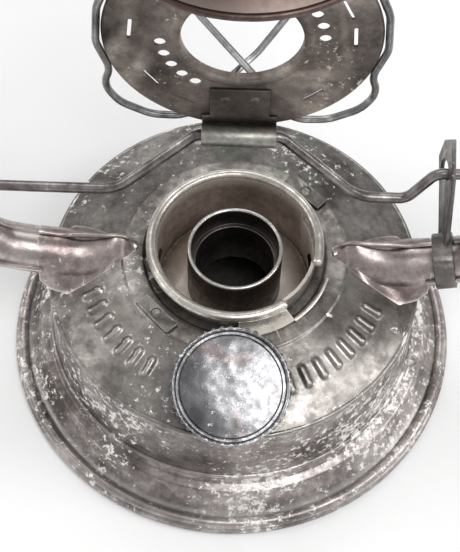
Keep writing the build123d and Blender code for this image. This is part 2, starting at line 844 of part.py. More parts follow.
touch_radius = plate_radius + guard_radius + guard_rim_gap
ring_touch = guard_ring_radius + 2 * guard_radius + guard_rim_gap
ring_lead = ring_touch + 0.8 * guard_radius
guards = {"left": guard_cross_shift, "right": -guard_cross_shift}
for name, shift in guards.items():
    points = [
        (18, ring_touch, guard_ring_height),
        (24, ring_lead, 0.92 * guard_ring_height),
        (45, plate_radius, 0.76 * guard_ring_height),
        (70, 0.975 * guard_belly_radius, 0.515 * guard_ring_height),
        (83, guard_belly_radius + shift, 0.39 * guard_ring_height),
        (97, guard_belly_radius + shift, 0.235 * guard_ring_height),
        (112, touch_radius, 1.6 * plate_rim_radius),
        (126, 0.955 * guard_ear_radius, 1.4 * plate_rim_radius),
        (139, guard_ear_radius, 1.4 * plate_rim_radius),
        (150, 0.975 * guard_ear_radius, 1.4 * plate_rim_radius),
        (158, touch_radius, plate_rim_radius),
        (175, guard_band_radius, plate_rim_radius),
        (195, guard_band_radius, plate_rim_radius),
        (212, guard_band_radius, 2 * plate_rim_radius),
        (236, 0.985 * guard_belly_radius, 0.176 * guard_ring_height),
        (262, guard_belly_radius - shift, 0.38 * guard_ring_height),
        (278, guard_belly_radius - shift, 0.51 * guard_ring_height),
        (305, 0.927 * guard_belly_radius, 0.72 * guard_ring_height),
        (334, ring_lead, 0.92 * guard_ring_height),
        (342, ring_touch, guard_ring_height),
    ]
    if name == "right":
        points = [(180 - angle, radius, height) for angle, radius, height in points]
    with BuildPart() as guard_wire:
        with BuildLine() as guard_path:
            FilletPolyline([cage_point(*point) for point in points], radius=guard_bend)
        with BuildSketch(Plane(origin=guard_path.line @ 0, z_dir=guard_path.line % 0)):
            Circle(guard_radius)
        sweep(path=guard_path.line)
    finish(guard_wire.part, f"guard_wire_{name}")

# Ring that ties the guard wires round the globe's neck
with BuildPart() as guard_ring:
    with BuildSketch(Plane.XY.offset(plate_mid_z)):
        with Locations((guard_ring_radius, plate_y + guard_ring_height)):
            Circle(guard_radius)
    revolve(axis=rim_axis)
finish(guard_ring.part, "guard_ring")

# Air drum: a pan and a lid, pierced for the tubes and the chimney
drum_bore = chimney_radius + slide_gap
with BuildPart() as drum_pan:
    with BuildSketch(Plane.XZ):
        with BuildLine():
            FilletPolyline(
                (drum_bore, drum_foot_z),
                (drum_radius, drum_foot_z),
                (drum_radius, drum_top_z),
                radius=drum_bend,
            )
            offset(amount=sheet, side=Side.LEFT)
        make_face()
    revolve(axis=Axis.Z)
    with BuildSketch(Plane.YZ.offset(-drum_radius)):
        with Locations((0, tube_top_z)):
            Circle(tube_radius + solder_gap)
    extrude(amount=2 * drum_radius, mode=Mode.SUBTRACT)
finish(drum_pan.part, "drum_pan")

with BuildPart() as drum_lid:
    with BuildSketch(Plane.XZ):
        with BuildLine():
            Polyline(
                (drum_radius, drum_top_z + solder_gap),
                (drum_bore + drum_lid_step, drum_top_z + drum_lid_rise),
                (drum_bore, drum_top_z + drum_lid_rise),
            )
            offset(amount=sheet, side=Side.RIGHT)
        make_face()
        with Locations((drum_radius, drum_top_z + drum_rim_radius)):
            Circle(drum_rim_radius)
    revolve(axis=Axis.Z)
finish(drum_lid.part, "drum_lid")

# Chimney: a plain tube with the globe hood below, the spring's collar and the vented roof above
with BuildPart() as chimney_tube:
    with BuildSketch(Plane.XY.offset(hood_top_z - sheet)):
        Circle(chimney_radius)
        Circle(chimney_radius - sheet, mode=Mode.SUBTRACT)
    extrude(amount=vent_foot_z - hood_top_z + sheet)
finish(chimney_tube.part, "chimney_tube")

with BuildPart() as globe_hood:
    with BuildSketch(Plane.XZ):
        with BuildLine():
            FilletPolyline(
                (hood_lip_radius - hood_lip_roll / 2, hood_lip_z),
                (hood_shoulder_radius, hood_shoulder_z),
                (hood_shoulder_radius - hood_crown_inset, hood_top_z),
                (chimney_radius + solder_gap, hood_top_z),
                radius=(hood_shoulder_bend, hood_crown_bend),
            )
            offset(amount=sheet, side=Side.LEFT)
        make_face()
        with Locations((hood_lip_radius - hood_lip_roll, hood_lip_z)):
            Circle(hood_lip_roll)
    revolve(axis=Axis.Z)
finish(globe_hood.part, "globe_hood")

collar_z = drum_foot_z + sheet + slide_gap
with BuildPart() as spring_collar:
    with BuildSketch(Plane.XY.offset(collar_z)):
        Circle(collar_radius)
        Circle(chimney_radius + solder_gap, mode=Mode.SUBTRACT)
    extrude(amount=collar_thickness)
finish(spring_collar.part, "spring_collar")

spring_foot_z = collar_z + collar_thickness + spring_wire_radius + solder_gap
spring_top_z = drum_top_z - spring_wire_radius - solder_gap
spring_height = spring_top_z - spring_foot_z
with BuildPart() as chimney_spring:
    with BuildLine() as spring_path:
        Helix(
            pitch=spring_height / spring_turns,
            height=spring_height,
            radius=spring_mean_radius,
            center=(0, 0, spring_foot_z),
        )
    with BuildSketch(Plane(origin=spring_path.line @ 0, z_dir=spring_path.line % 0)):
        Circle(spring_wire_radius)
    sweep(path=spring_path.line, is_frenet=True)
finish(chimney_spring.part, "chimney_spring")

vent_top_z = vent_foot_z + vent_band_height
with BuildPart() as vent_band:
    with BuildSketch(Plane.XZ):
        with BuildLine():
            Polyline(
                (chimney_radius - sheet, vent_foot_z + solder_gap),
                (vent_band_radius, vent_foot_z + solder_gap),
                (vent_band_radius, vent_top_z),
            )
            offset(amount=sheet, side=Side.LEFT)
        make_face()
    revolve(axis=Axis.Z)
    with BuildSketch(Plane.XY.offset(vent_foot_z)):
        Circle(chimney_radius - sheet)
    extrude(amount=2 * sheet, mode=Mode.SUBTRACT)
    vent_mid_z = vent_foot_z + vent_band_height / 2
    vent_planes = []
    for index in range(vent_count):
        angle = 360 * index / vent_count
        out = (*polar(1, angle), 0)
        origin = (*polar(vent_band_radius - 2 * sheet, angle), vent_mid_z)
        vent_planes.append(Plane(origin=origin, z_dir=out))
    with BuildSketch(*vent_planes):
        Circle(vent_hole_radius)
    extrude(amount=3 * sheet, mode=Mode.SUBTRACT)
finish(vent_band.part, "vent_band")

with BuildPart() as hood_roof:
    with BuildSketch(Plane.XZ):
        with BuildLine():
            FilletPolyline(
                (roof_radius, vent_top_z - roof_edge_drop),
                (roof_radius - roof_edge_width, vent_top_z - roof_seat_drop),
                (vent_band_radius - roof_seat_inset, vent_top_z + roof_seat_rise),
                (roof_shoulder_radius, roof_shoulder_z),
                (roof_top_radius, roof_top_z),
                (0, roof_top_z),
                radius=(roof_edge_bend, roof_seat_bend, roof_shoulder_bend, roof_top_bend),
            )
            offset(amount=sheet, side=Side.LEFT)
        make_face()
        with Locations((roof_radius - sheet / 2, vent_top_z - roof_edge_drop)):
            Circle(sheet)
    revolve(axis=Axis.Z)
finish(hood_roof.part, "hood_roof")

# Bail ears on top of the tubes, and the bail
ear_foot_z = tube_top_z + tube_radius - ear_root
with BuildPart() as bail_ears:
    for side in sides.values():
        with BuildSketch(Plane.YZ.offset(side * ear_x - ear_thickness / 2)):
            with Locations((0, (ear_foot_z + bail_pivot_z) / 2)):
                Rectangle(2 * ear_half_width, bail_pivot_z - ear_foot_z)
            with Locations((0, bail_pivot_z)):
                Circle(ear_half_width)
                Circle(bail_radius + run_gap, mode=Mode.SUBTRACT)
            with Locations((0, tube_top_z)):
                Circle(tube_radius + solder_gap, mode=Mode.SUBTRACT)
        extrude(amount=ear_thickness)
finish(bail_ears.part, "bail_ears")

bail_hook_x = ear_x - bail_hook_inset
bail_half = [
    (bail_hook_x, bail_pivot_z + bail_hook_rise),
    (bail_hook_x, bail_pivot_z),
    (ear_x + bail_arm_outset, bail_pivot_z),
    (ear_x + bail_wide_outset, bail_wide_z),
    (ear_x, bail_top_z),
]
bail_points = [(-x, z) for x, z in bail_half] + list(reversed(bail_half))
bail_bends = (bail_hook_bend, bail_foot_bend, bail_arch_bend, bail_arch_bend)
with BuildPart() as bail:
    with BuildLine(Plane.XZ) as bail_path:
        FilletPolyline(bail_points, radius=(*bail_bends, *reversed(bail_bends)))
    with BuildSketch(Plane(origin=bail_path.line @ 0, z_dir=bail_path.line % 0)):
        Circle(bail_radius)
    sweep(path=bail_path.line)
finish(bail.part, "bail")

spring_gap = spring_height / spring_turns - 2 * spring_wire_radius
print("hinge", round(hinge_y, 3), round(hinge_z, 3), "plate", round(plate_y, 3), round(plate_mid_z, 3))
print("least gap between turns of the chimney spring", round(spring_gap, 2))
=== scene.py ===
import json
import math

import bmesh
import bpy
from mathutils import Matrix, Vector

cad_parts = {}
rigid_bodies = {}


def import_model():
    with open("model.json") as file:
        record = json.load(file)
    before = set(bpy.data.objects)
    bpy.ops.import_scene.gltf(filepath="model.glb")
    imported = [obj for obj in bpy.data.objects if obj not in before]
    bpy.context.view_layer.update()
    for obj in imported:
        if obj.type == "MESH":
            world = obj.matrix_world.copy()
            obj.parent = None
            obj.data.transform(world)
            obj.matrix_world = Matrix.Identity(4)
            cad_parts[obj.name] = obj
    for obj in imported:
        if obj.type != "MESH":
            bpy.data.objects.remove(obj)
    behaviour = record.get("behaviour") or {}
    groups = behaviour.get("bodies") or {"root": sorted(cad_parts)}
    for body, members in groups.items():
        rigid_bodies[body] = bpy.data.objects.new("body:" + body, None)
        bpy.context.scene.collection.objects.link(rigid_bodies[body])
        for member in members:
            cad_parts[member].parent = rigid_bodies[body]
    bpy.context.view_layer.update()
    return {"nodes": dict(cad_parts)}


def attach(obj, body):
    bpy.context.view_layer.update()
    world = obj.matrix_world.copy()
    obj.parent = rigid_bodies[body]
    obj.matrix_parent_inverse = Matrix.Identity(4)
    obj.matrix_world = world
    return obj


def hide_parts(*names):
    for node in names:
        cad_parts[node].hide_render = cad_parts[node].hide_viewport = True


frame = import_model()

# The view and the light. The lantern stands on a pale table and is looked at from the front and
# well above, close enough that the tubes, the hood and the tilted cage run out of the picture.
# One white sheet hangs over it in front, one behind, and two smaller ones stand at its sides.
MM = 0.001
view_rise, view_distance, view_roll = math.radians(59.7), 374.2 * MM, math.radians(1.86)
look_at = Vector((-1.13, 0, 32.14)) * MM
into_view = Vector((0, math.cos(view_rise), -math.sin(view_rise)))
level_right = Vector((1, 0, 0))
level_up = level_right.cross(into_view)
view_right = level_right * math.cos(view_roll) + level_up * math.sin(view_roll)
view_up = level_up * math.cos(view_roll) - level_right * math.sin(view_roll)
bpy.ops.object.camera_add()
camera = bpy.context.object
camera.name = "photo_camera"
camera.matrix_world = Matrix.LocRotScale(
    look_at - into_view * view_distance,
    Matrix((view_right, view_up, -into_view)).transposed(),
    None,
)
camera.data.sensor_width = 36
camera.data.lens = 86.3
camera.data.clip_start = 10 * MM
bpy.context.scene.camera = camera
bpy.context.scene.view_settings.view_transform = "Standard"


def soft_sheet(name, place, aim, width, height, watts):
    """A rectangular lamp at a place, turned to face the point that it is aimed at."""
    bpy.ops.object.light_add(type="AREA", location=place)
    lamp = bpy.context.object
    lamp.name = name
    lamp.data.shape = "RECTANGLE"
    lamp.data.size = width
    lamp.data.size_y = height
    lamp.data.energy = watts
    lamp.rotation_euler = (Vector(aim) - Vector(place)).to_track_quat("-Z", "Y").to_euler()
    return lamp


soft_sheet("sheet_front", (0.34, -0.42, 1.15), (0, 0, 0.05), 0.7, 0.6, 6.8)
soft_sheet("sheet_back", (-0.15, 0.55, 1.0), (0, 0, 0.05), 0.9, 0.5, 3.2)
soft_sheet("sheet_left", (-0.9, 0.0, 0.5), (0, 0, 0.08), 0.5, 0.7, 2.0)
soft_sheet("sheet_right", (0.9, -0.1, 0.55), (0, 0, 0.08), 0.35, 0.6, 3.0)

world = bpy.data.worlds.new("studio")
world.use_nodes = True
bpy.context.scene.world = world
surround = world.node_tree
surround.nodes.clear()
ray = surround.nodes.new("ShaderNodeLightPath")
direction = surround.nodes.new("ShaderNodeTexCoord")
split = surround.nodes.new("ShaderNodeSeparateXYZ")
sky_ramp = surround.nodes.new("ShaderNodeValToRGB")
sky_ramp.color_ramp.elements[0].position = 0.35
sky_ramp.color_ramp.elements[0].color = (0.70, 0.70, 0.70, 1)
sky_ramp.color_ramp.elements[1].position = 0.95
sky_ramp.color_ramp.elements[1].color = (0.42, 0.42, 0.42, 1)
half_up = surround.nodes.new("ShaderNodeMath")
half_up.operation = "MULTIPLY_ADD"
half_up.inputs[1].default_value = 0.5
half_up.inputs[2].default_value = 0.5
backdrop_mix = surround.nodes.new("ShaderNodeMix")
backdrop_mix.data_type = "RGBA"
backdrop_mix.inputs["B"].default_value = (0.93, 0.93, 0.93, 1)
background = surround.nodes.new("ShaderNodeBackground")
world_out = surround.nodes.new("ShaderNodeOutputWorld")
surround.links.new(direction.outputs["Generated"], split.inputs[0])
surround.links.new(split.outputs["Z"], half_up.inputs[0])
surround.links.new(half_up.outputs[0], sky_ramp.inputs[0])
surround.links.new(sky_ramp.outputs["Color"], backdrop_mix.inputs["A"])
surround.links.new(ray.outputs["Is Camera Ray"], backdrop_mix.inputs["Factor"])
surround.links.new(backdrop_mix.outputs["Result"], background.inputs["Color"])
surround.links.new(background.outputs[0], world_out.inputs["Surface"])


def socket(node, name):
    """Input of a node by name; of a Mix node, the one for its own kind of data."""
    if node.bl_idname == "ShaderNodeMix" and name in ("A", "B"):
        kinds = {"FLOAT": 0, "VECTOR": 1, "RGBA": 2}
        return [s for s in node.inputs if s.name == name][kinds[node.data_type]]
    return node.inputs[name]


def put(finish, kind, wired=None, **settings):
    """Adds a node to a material. Wired gives its inputs: a socket is linked, a value is set."""
    node = finish.node_tree.nodes.new("ShaderNode" + kind)
    for key, value in settings.items():
        setattr(node, key, value)
    for key, value in (wired or {}).items():
        target = socket(node, key)
        if isinstance(value, bpy.types.NodeSocket):
            finish.node_tree.links.new(value, target)
        else:
            target.default_value = value
    return node


def tone(red, green, blue):
    """Colour as read off a screen, 0 to 255, for a shader."""
    def linear(value):
        value /= 255
        return value / 12.92 if value <= 0.04045 else ((value + 0.055) / 1.055) ** 2.4

    return (linear(red), linear(green), linear(blue), 1)


def new_finish(name):
    """An empty material, and the object's own coordinates in it."""
    finish = bpy.data.materials.new(name)
    finish.use_nodes = True
    finish.node_tree.nodes.clear()
    here = put(finish, "TexCoord").outputs["Object"]
    return finish, here


bpy.ops.mesh.primitive_plane_add(size=6, location=(0, 0, 0))
table = bpy.context.object
table.name = "pale_table"
table_white, here = new_finish("table_white")
paper = put(table_white, "BsdfPrincipled", {"Base Color": tone(244, 244, 244), "Roughness": 0.9})
put(table_white, "OutputMaterial", {"Surface": paper.outputs[0]})
table.data.materials.append(table_white)


# The tank's foot and wall, one shell drawn from tinned sheet steel. Its foot is rolled twice round
# a wire. The tin has gone dark, with pale worn flakes and bright rubbed edges.
def alone(piece=None):
    """Lets go of everything but one piece, so that the next operator acts on that one only."""
    bpy.ops.object.select_all(action="DESELECT")
    if piece is not None:
        piece.select_set(True)
        bpy.context.view_layer.objects.active = piece


def pick(piece, test):
    """In edit mode, selects the corners of a piece whose place, in mm, passes a test."""
    bpy.ops.mesh.select_mode(type="VERT")
    bpy.ops.mesh.select_all(action="DESELECT")
    mesh = bmesh.from_edit_mesh(piece.data)
    for corner in mesh.verts:
        corner.select = test(corner.co / MM)
    mesh.select_flush_mode()
    bmesh.update_edit_mesh(piece.data)


def drawn_line(name, points, bends=(), steps=0):
    """Draws a line through points in mm and rounds its inner corners to the bend radii in turn."""
    alone()
    points = [Vector(point) for point in points]
    bpy.ops.mesh.primitive_plane_add(size=MM, location=(0, 0, 0))
    piece = bpy.context.object
    piece.name = name
    bpy.ops.object.mode_set(mode="EDIT")
    bpy.ops.mesh.merge(type="CENTER")
    bpy.ops.transform.translate(value=points[0] * MM)
    for here, there in zip(points, points[1:]):
        bpy.ops.mesh.extrude_region_move(TRANSFORM_OT_translate={"value": (there - here) * MM})
    for before, corner, after, bend in zip(points, points[1:], points[2:], bends):
        turn = (corner - before).angle(after - corner)
        if turn < 0.01 or bend == 0:
            continue
        pick(piece, lambda place: (place - corner).length < 0.002)
        bpy.ops.mesh.bevel(
            offset=bend * MM * math.tan(turn / 2),
            offset_type="OFFSET",
            segments=steps or max(2, round(math.degrees(turn) / 9)),
            profile=0.5,
            affect="VERTICES",
        )
    bpy.ops.object.mode_set(mode="OBJECT")
    return piece


def spun(piece, steps, sweep=360.0, inside=(0, 0, 0)):
    """Spins a drawn line round the Z axis and turns its faces away from a point, in mm, inside."""
    alone(piece)
    bpy.ops.object.mode_set(mode="EDIT")
    bpy.ops.mesh.select_all(action="SELECT")
    bpy.ops.mesh.spin(steps=steps, angle=math.radians(sweep), center=(0, 0, 0), axis=(0, 0, 1))
    bpy.ops.mesh.select_all(action="SELECT")
    bpy.ops.mesh.remove_doubles(threshold=0.004 * MM)
    bpy.ops.mesh.normals_make_consistent(inside=False)
    bpy.ops.object.mode_set(mode="OBJECT")
    core = Vector(inside) * MM
    outward = sum(face.normal.dot(face.center - core) * face.area for face in piece.data.polygons)
    if outward < 0:
        bpy.ops.object.mode_set(mode="EDIT")
        bpy.ops.mesh.flip_normals()
        bpy.ops.object.mode_set(mode="OBJECT")


def thicken(piece, wall, share=-1.0, even=True):
    """Gives a skin the thickness of its sheet, inwards from its faces unless share says otherwise."""
    alone(piece)
    sheet = piece.modifiers.new("sheet", "SOLIDIFY")
    sheet.thickness = wall * MM
    sheet.offset = share
    sheet.use_even_offset = even
    bpy.ops.object.modifier_apply(modifier="sheet")


def gathered(first, *others):
    """Makes one object of several pieces and leaves their corners as they are."""
    alone(first)
    for other in others:
        other.select_set(True)
    bpy.ops.object.join()


def facing_out(piece):
    """Turns all faces of a closed piece outwards."""
    alone(piece)
    bpy.ops.object.mode_set(mode="EDIT")
    bpy.ops.mesh.select_all(action="SELECT")
    bpy.ops.mesh.normals_make_consistent(inside=False)
    bpy.ops.object.mode_set(mode="OBJECT")


def on_circle(radius, angle, height=0.0):
    """Place in mm on a circle round the Z axis, by the angle in degrees from X."""
    turn = math.radians(angle)
    return Vector((radius * math.cos(turn), radius * math.sin(turn), height))


def rolled_ring(piece, ring_radius, height, roll_radius, steps=192):
    """Adds a rolled edge, a ring of round section about the Z axis, to a piece."""
    alone(piece)
    bpy.ops.object.mode_set(mode="EDIT")
    bpy.ops.mesh.select_all(action="DESELECT")
    bpy.ops.mesh.primitive_torus_add(
        location=(0, 0, height * MM),
        major_segments=steps,
        minor_segments=20,
        major_radius=ring_radius * MM,
        minor_radius=roll_radius * MM,
    )
    bpy.ops.object.mode_set(mode="OBJECT")


def dress(piece, finish, body, nodes, smooth=38):
    """Shades a piece, gives it its finish and its body, and lets it stand for CAD nodes."""
    alone(piece)
    piece.data.materials.clear()
    piece.data.materials.append(finish)
    bpy.ops.object.shade_smooth_by_angle(angle=math.radians(smooth))
    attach(piece, body)
    if nodes:
        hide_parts(*nodes)


def aged_tin(
    name, deep, common, worn, patch=55, flakes=0.5, rough=0.36, metal=0.92, dents=0.25,
    stain=None, stain_edge=0.56, rub=0.75, zone=None, darkest_painted_shade=0.3,
):
    """Tinned steel that has darkened in patches, with specks, flakes, stains and rubbed edges, and with
    painted shade in its corners and creases.

    A zone is a tone that takes over along X, Y, Z or the distance R from the Z axis, from one
    place to another in mm.
    """
    finish, here = new_finish(name)
    clouds = put(finish, "TexNoise", {"Vector": here, "Scale": patch, "Detail": 5.0, "Roughness": 0.6})
    cloud_steps = put(finish, "ValToRGB", {"Fac": clouds.outputs["Fac"]})
    cloud_steps.color_ramp.elements[0].position = 0.36
    cloud_steps.color_ramp.elements[0].color = deep
    cloud_steps.color_ramp.elements[1].position = 0.64
    cloud_steps.color_ramp.elements[1].color = common
    base = cloud_steps.outputs["Color"]
    if stain is not None:
        spread = put(
            finish, "TexNoise", {"Vector": here, "Scale": patch * 0.6, "Detail": 3.0, "Distortion": 0.8}
        )
        spread_edge = put(
            finish,
            "MapRange",
            {"Value": spread.outputs["Fac"], "From Min": stain_edge, "From Max": stain_edge + 0.12},
        )
        base = put(
            finish, "Mix", {"Factor": spread_edge.outputs[0], "A": base, "B": stain}, data_type="RGBA"
        ).outputs[2]
    shine = metal
    if zone is not None:
        along, start, stop, zone_tone = zone
        if along == "R":
            flat = put(finish, "VectorMath", {0: here, 1: (1, 1, 0)}, operation="MULTIPLY")
            distance = put(finish, "VectorMath", {0: flat.outputs[0]}, operation="LENGTH").outputs["Value"]
        else:
            distance = put(finish, "SeparateXYZ", {0: here}).outputs[along]
        taken = put(
            finish, "MapRange", {"Value": distance, "From Min": start * MM, "From Max": stop * MM}
        )
        base = put(
            finish, "Mix", {"Factor": taken.outputs[0], "A": base, "B": zone_tone}, data_type="RGBA"
        ).outputs[2]
        shine = put(
            finish, "MapRange", {"Value": taken.outputs[0], "To Min": metal, "To Max": 0.95}
        ).outputs[0]
    grime = put(finish, "TexNoise", {"Vector": here, "Scale": patch * 7, "Detail": 4.0, "Roughness": 0.7})
    grime_steps = put(finish, "ValToRGB", {"Fac": grime.outputs["Fac"]})
    grime_steps.color_ramp.elements[0].position = 0.40
    grime_steps.color_ramp.elements[0].color = (0.55, 0.55, 0.55, 1)
    grime_steps.color_ramp.elements[1].position = 0.62
    grime_steps.color_ramp.elements[1].color = (1, 1, 1, 1)
    grimed = put(
        finish,
        "Mix",
        {"Factor": 0.8, "A": base, "B": grime_steps.outputs["Color"]},
        data_type="RGBA",
        blend_type="MULTIPLY",
    )
    flake_noise = put(finish, "TexNoise", {"Vector": here, "Scale": 520.0, "Detail": 6.0, "Roughness": 0.75})
    flake_zone = put(finish, "TexNoise", {"Vector": here, "Scale": 34.0, "Detail": 3.0, "Roughness": 0.55})
    zone_shift = put(
        finish,
        "Math",
        {0: flake_zone.outputs["Fac"], 1: 0.55, 2: flake_noise.outputs["Fac"]},
        operation="MULTIPLY_ADD",
    )
    flake_edge = 0.985 - 0.12 * flakes
    flake_mask = put(
        finish,
        "MapRange",
        {"Value": zone_shift.outputs[0], "From Min": flake_edge, "From Max": flake_edge + 0.05},
    )
    flaked = put(
        finish,
        "Mix",
        {"Factor": flake_mask.outputs[0], "A": grimed.outputs[2], "B": worn},
        data_type="RGBA",
    )
    # Painted shade: ambient occlusion darkens the colour in corners, creases and joints, where shade falls.
    ao_corner_shade = put(finish, "AmbientOcclusion", {"Distance": 5 * MM}, samples=6)
    painted_shade_steps = put(
        finish,
        "MapRange",
        {"Value": ao_corner_shade.outputs["AO"], "From Min": 0.35, "From Max": 0.85, "To Min": darkest_painted_shade},
    )
    shade_darkened = put(
        finish,
        "Mix",
        {"Factor": 1.0, "A": flaked.outputs[2], "B": painted_shade_steps.outputs[0]},
        data_type="RGBA",
        blend_type="MULTIPLY",
    )
    rim = put(finish, "NewGeometry")
    rubbed = put(
        finish, "MapRange", {"Value": rim.outputs["Pointiness"], "From Min": 0.52, "From Max": 0.60}
    )
    rubbed_part = put(finish, "Math", {0: rubbed.outputs[0], 1: rub}, operation="MULTIPLY")
    edged = put(
        finish,
        "Mix",
        {"Factor": rubbed_part.outputs[0], "A": shade_darkened.outputs[2], "B": worn},
        data_type="RGBA",
    )
    gloss = put(
        finish,
        "MapRange",
        {
            "Value": grime.outputs["Fac"],
            "From Min": 0.3,
            "From Max": 0.7,
            "To Min": rough + 0.16,
            "To Max": rough - 0.04,
        },
    )
    dull = put(
        finish, "Math", {0: flake_mask.outputs[0], 1: 0.25, 2: gloss.outputs[0]}, operation="MULTIPLY_ADD"
    )
    hammer = put(finish, "TexNoise", {"Vector": here, "Scale": 95.0, "Detail": 2.0})
    grain = put(finish, "Bump", {"Height": grime.outputs["Fac"], "Strength": 0.35, "Distance": 0.00012})
    waves = put(
        finish,
        "Bump",
        {"Height": hammer.outputs["Fac"], "Strength": dents, "Distance": 0.0008, "Normal": grain.outputs[0]},
    )
    flake_bump = put(
        finish,
        "Bump",
        {"Height": flake_mask.outputs[0], "Strength": 0.4, "Distance": 0.00008, "Normal": waves.outputs[0]},
    )
    steel = put(
        finish,
        "BsdfPrincipled",
        {
            "Base Color": edged.outputs[2],
            "Metallic": shine,
            "Roughness": dull.outputs[0],
            "Normal": flake_bump.outputs[0],
        },
    )
    put(finish, "OutputMaterial", {"Surface": steel.outputs[0]})
    return finish


tank_tin = aged_tin(
    "tank_tin", tone(104, 95, 92), tone(198, 189, 186), tone(246, 243, 239), flakes=1.25, rough=0.3
)
shell_line = (
    (61.7, 3.5), (58.5, 6.2), (56.3, 10.4), (53.9, 11.1), (52.7, 13.3), (52.57, 15), (52.18, 20),
    (51.63, 27), (51.12, 33.5), (51.0, 35.1),
)
sheet = 0.9
tank_shell = drawn_line("tank_shell", [(r, 0, z) for r, z in shell_line], (6.0, 1.0, 1.2, 1.0))
spun(tank_shell, 256, inside=(0, 0, 20))
thicken(tank_shell, sheet)
rolled_ring(tank_shell, 63.4, 1.55, 1.55, 256)
rolled_ring(tank_shell, 62.6, 3.5, 1.5, 256)
rolled_ring(tank_shell, 52.7, 13.3, 0.8, 256)
dress(tank_shell, tank_tin, "frame", ["fount_shell"])

# The bottom pan, a dished disc of the same sheet, let into the foot and soldered all round.
# It is set back from the table, so it keeps more of its tin than the rest.
pan_tin = aged_tin("pan_tin", tone(130, 126, 123), tone(190, 186, 182), tone(226, 224, 220), flakes=0.3)
pan_line = ((0, 3.8), (53.75, 3.8), (58.75, 2.0), (61.75, 2.0))
bottom_pan = drawn_line("bottom_pan", [(r, 0, z) for r, z in pan_line], (1.5, 1.5))
spun(bottom_pan, 192, inside=(0, 0, 20))
thicken(bottom_pan, 0.85)
dress(bottom_pan, pan_tin, "frame", ["fount_bottom"])

# The dome closes the tank. It is pressed with a raised ledge round the burner cup and with two rows
# of short ribs beside the filler, and its edge is folded over the wall as a fine round bead.
dome_tin = aged_tin(
    "dome_tin", tone(100, 95, 91), tone(184, 178, 173), tone(244, 242, 238), flakes=0.85, rough=0.29,
    stain=tone(128, 130, 122),
)
dome_line = (
    (51.0, 36.35), (41.67, 41.52), (31.3, 44.0), (30.7, 44.6), (25.3, 44.6), (24.6, 43.8), (22.25, 43.8)
)
dome = drawn_line("dome", [(r, 0, z) for r, z in dome_line[:3]], (78.3,), steps=52)
ledge = drawn_line("ledge", [(r, 0, z) for r, z in dome_line[2:]], (0.5, 0.5, 0.5), steps=3)
gathered(dome, ledge)
spun(dome, 600, inside=(0, 0, 0))
rib_rows = ((197.5, 7), (292.5, 8))
rib_step, rib_middle, rib_half_length, rib_half_width, rib_rise = 6.6, 40.2, 3.2, 1.15, 0.8
ribs = [math.radians(first + rib_step * index) for first, count in rib_rows for index in range(count)]
rib_slope = 0.918


def on_rib(place):
    """Whether a place lies inside the outline of one of the ribs."""
    radius, heading = math.hypot(place.x, place.y), math.atan2(place.y, place.x)
    along = (radius - rib_middle) / rib_slope
    if abs(along) > rib_half_length or place.z < 30:
        return False
    straight = rib_half_length - rib_half_width
    overrun = max(0, abs(along) - straight)
    for rib in ribs:
        across = radius * math.sin(heading - rib)
        if math.cos(heading - rib) > 0.9 and math.hypot(across, overrun) < rib_half_width - 0.25:
            return True
    return False


alone(dome)
bpy.ops.object.mode_set(mode="EDIT")
pick(dome, on_rib)
bpy.ops.transform.shrink_fatten(value=rib_rise * 1.15 * MM)
bpy.ops.mesh.select_more()
bpy.ops.mesh.vertices_smooth(factor=0.5, repeat=2)
bpy.ops.object.mode_set(mode="OBJECT")
rolled_ring(dome, 51.0, 35.85, 0.75, 256)
dress(dome, dome_tin, "frame", ["fount_dome"], smooth=60)

# The burner cup, a deep well with a rolled lip, soldered into the dome. Its wall and lip are cut
# away at the front right, where a small flap is bent outwards. Heat has tinted it brown inside.
# The rolled lip turns pale and more metallic: partly worn tin, partly a painted highlight along the bead.
cup_tin = aged_tin(
    "cup_tin", tone(160, 141, 128), tone(208, 191, 178), tone(240, 232, 222), flakes=0.5, rough=0.27,
    metal=0.45, stain=tone(120, 140, 138), stain_edge=0.62, zone=("R", 21.4, 21.8, tone(232, 227, 219)),
)
gap_start, gap_end = -55.2, -12.2
lip_ring, lip_height, lip_roll = 22.8, 49.8, 1.45
cup_line = ((22.2, 45.9), (22.2, 28), (20.6, 28), (13.15, 28))
wall_low = drawn_line("burner_cup_skin", [(r, 0, z) for r, z in cup_line], (1.2,))
spun(wall_low, 360, inside=(0, 0, 40))
wall_high = drawn_line("wall_high", [(22.2, 0, lip_height), (22.2, 0, 45.9)])
spun(wall_high, 317, sweep=317.0, inside=(0, 0, 40))


def joined(first, *others):
    """Makes one mesh of several pieces and merges the corners that meet."""
    gathered(first, *others)
    bpy.ops.object.mode_set(mode="EDIT")
    bpy.ops.mesh.select_all(action="SELECT")
    bpy.ops.mesh.remove_doubles(threshold=0.004 * MM)
    bpy.ops.object.mode_set(mode="OBJECT")
    return first


def settled(piece, turn=(0, 0, 0), place=(0, 0, 0)):
    """Turns a piece, in degrees, moves it, in mm, and leaves its object at the origin."""
    alone(piece)
    piece.rotation_euler = [math.radians(angle) for angle in turn]
    piece.location = Vector(place) * MM
    bpy.ops.object.transform_apply(location=True, rotation=True, scale=True)
    return piece


def bent_wire(name, points, bends, radius, sides=7, capped=True):
    """A drawn line made into a round wire or tube of a given radius."""
    piece = drawn_line(name, points, bends)
    alone(piece)
    bpy.ops.object.convert(target="CURVE")
    wire = bpy.context.object
    wire.data.bevel_depth = radius * MM
    wire.data.bevel_resolution = sides
    wire.data.use_fill_caps = capped
    bpy.ops.object.convert(target="MESH")
    return bpy.context.object


def cut_away(piece, cutter):
    """Takes a cutter's shape out of a piece and throws the cutter away."""
    alone(piece)
    cut = piece.modifiers.new("cut", "BOOLEAN")
    cut.operation = "DIFFERENCE"
    cut.solver = "EXACT"
    cut.object = cutter
    bpy.ops.object.modifier_apply(modifier="cut")
    bpy.data.objects.remove(cutter)


cup = joined(wall_low, wall_high)
thicken(cup, sheet)
settled(cup, turn=(0, 0, gap_end))
slope_deg, tube_radius = 14.5, 6.5
tube_slope = math.radians(slope_deg)


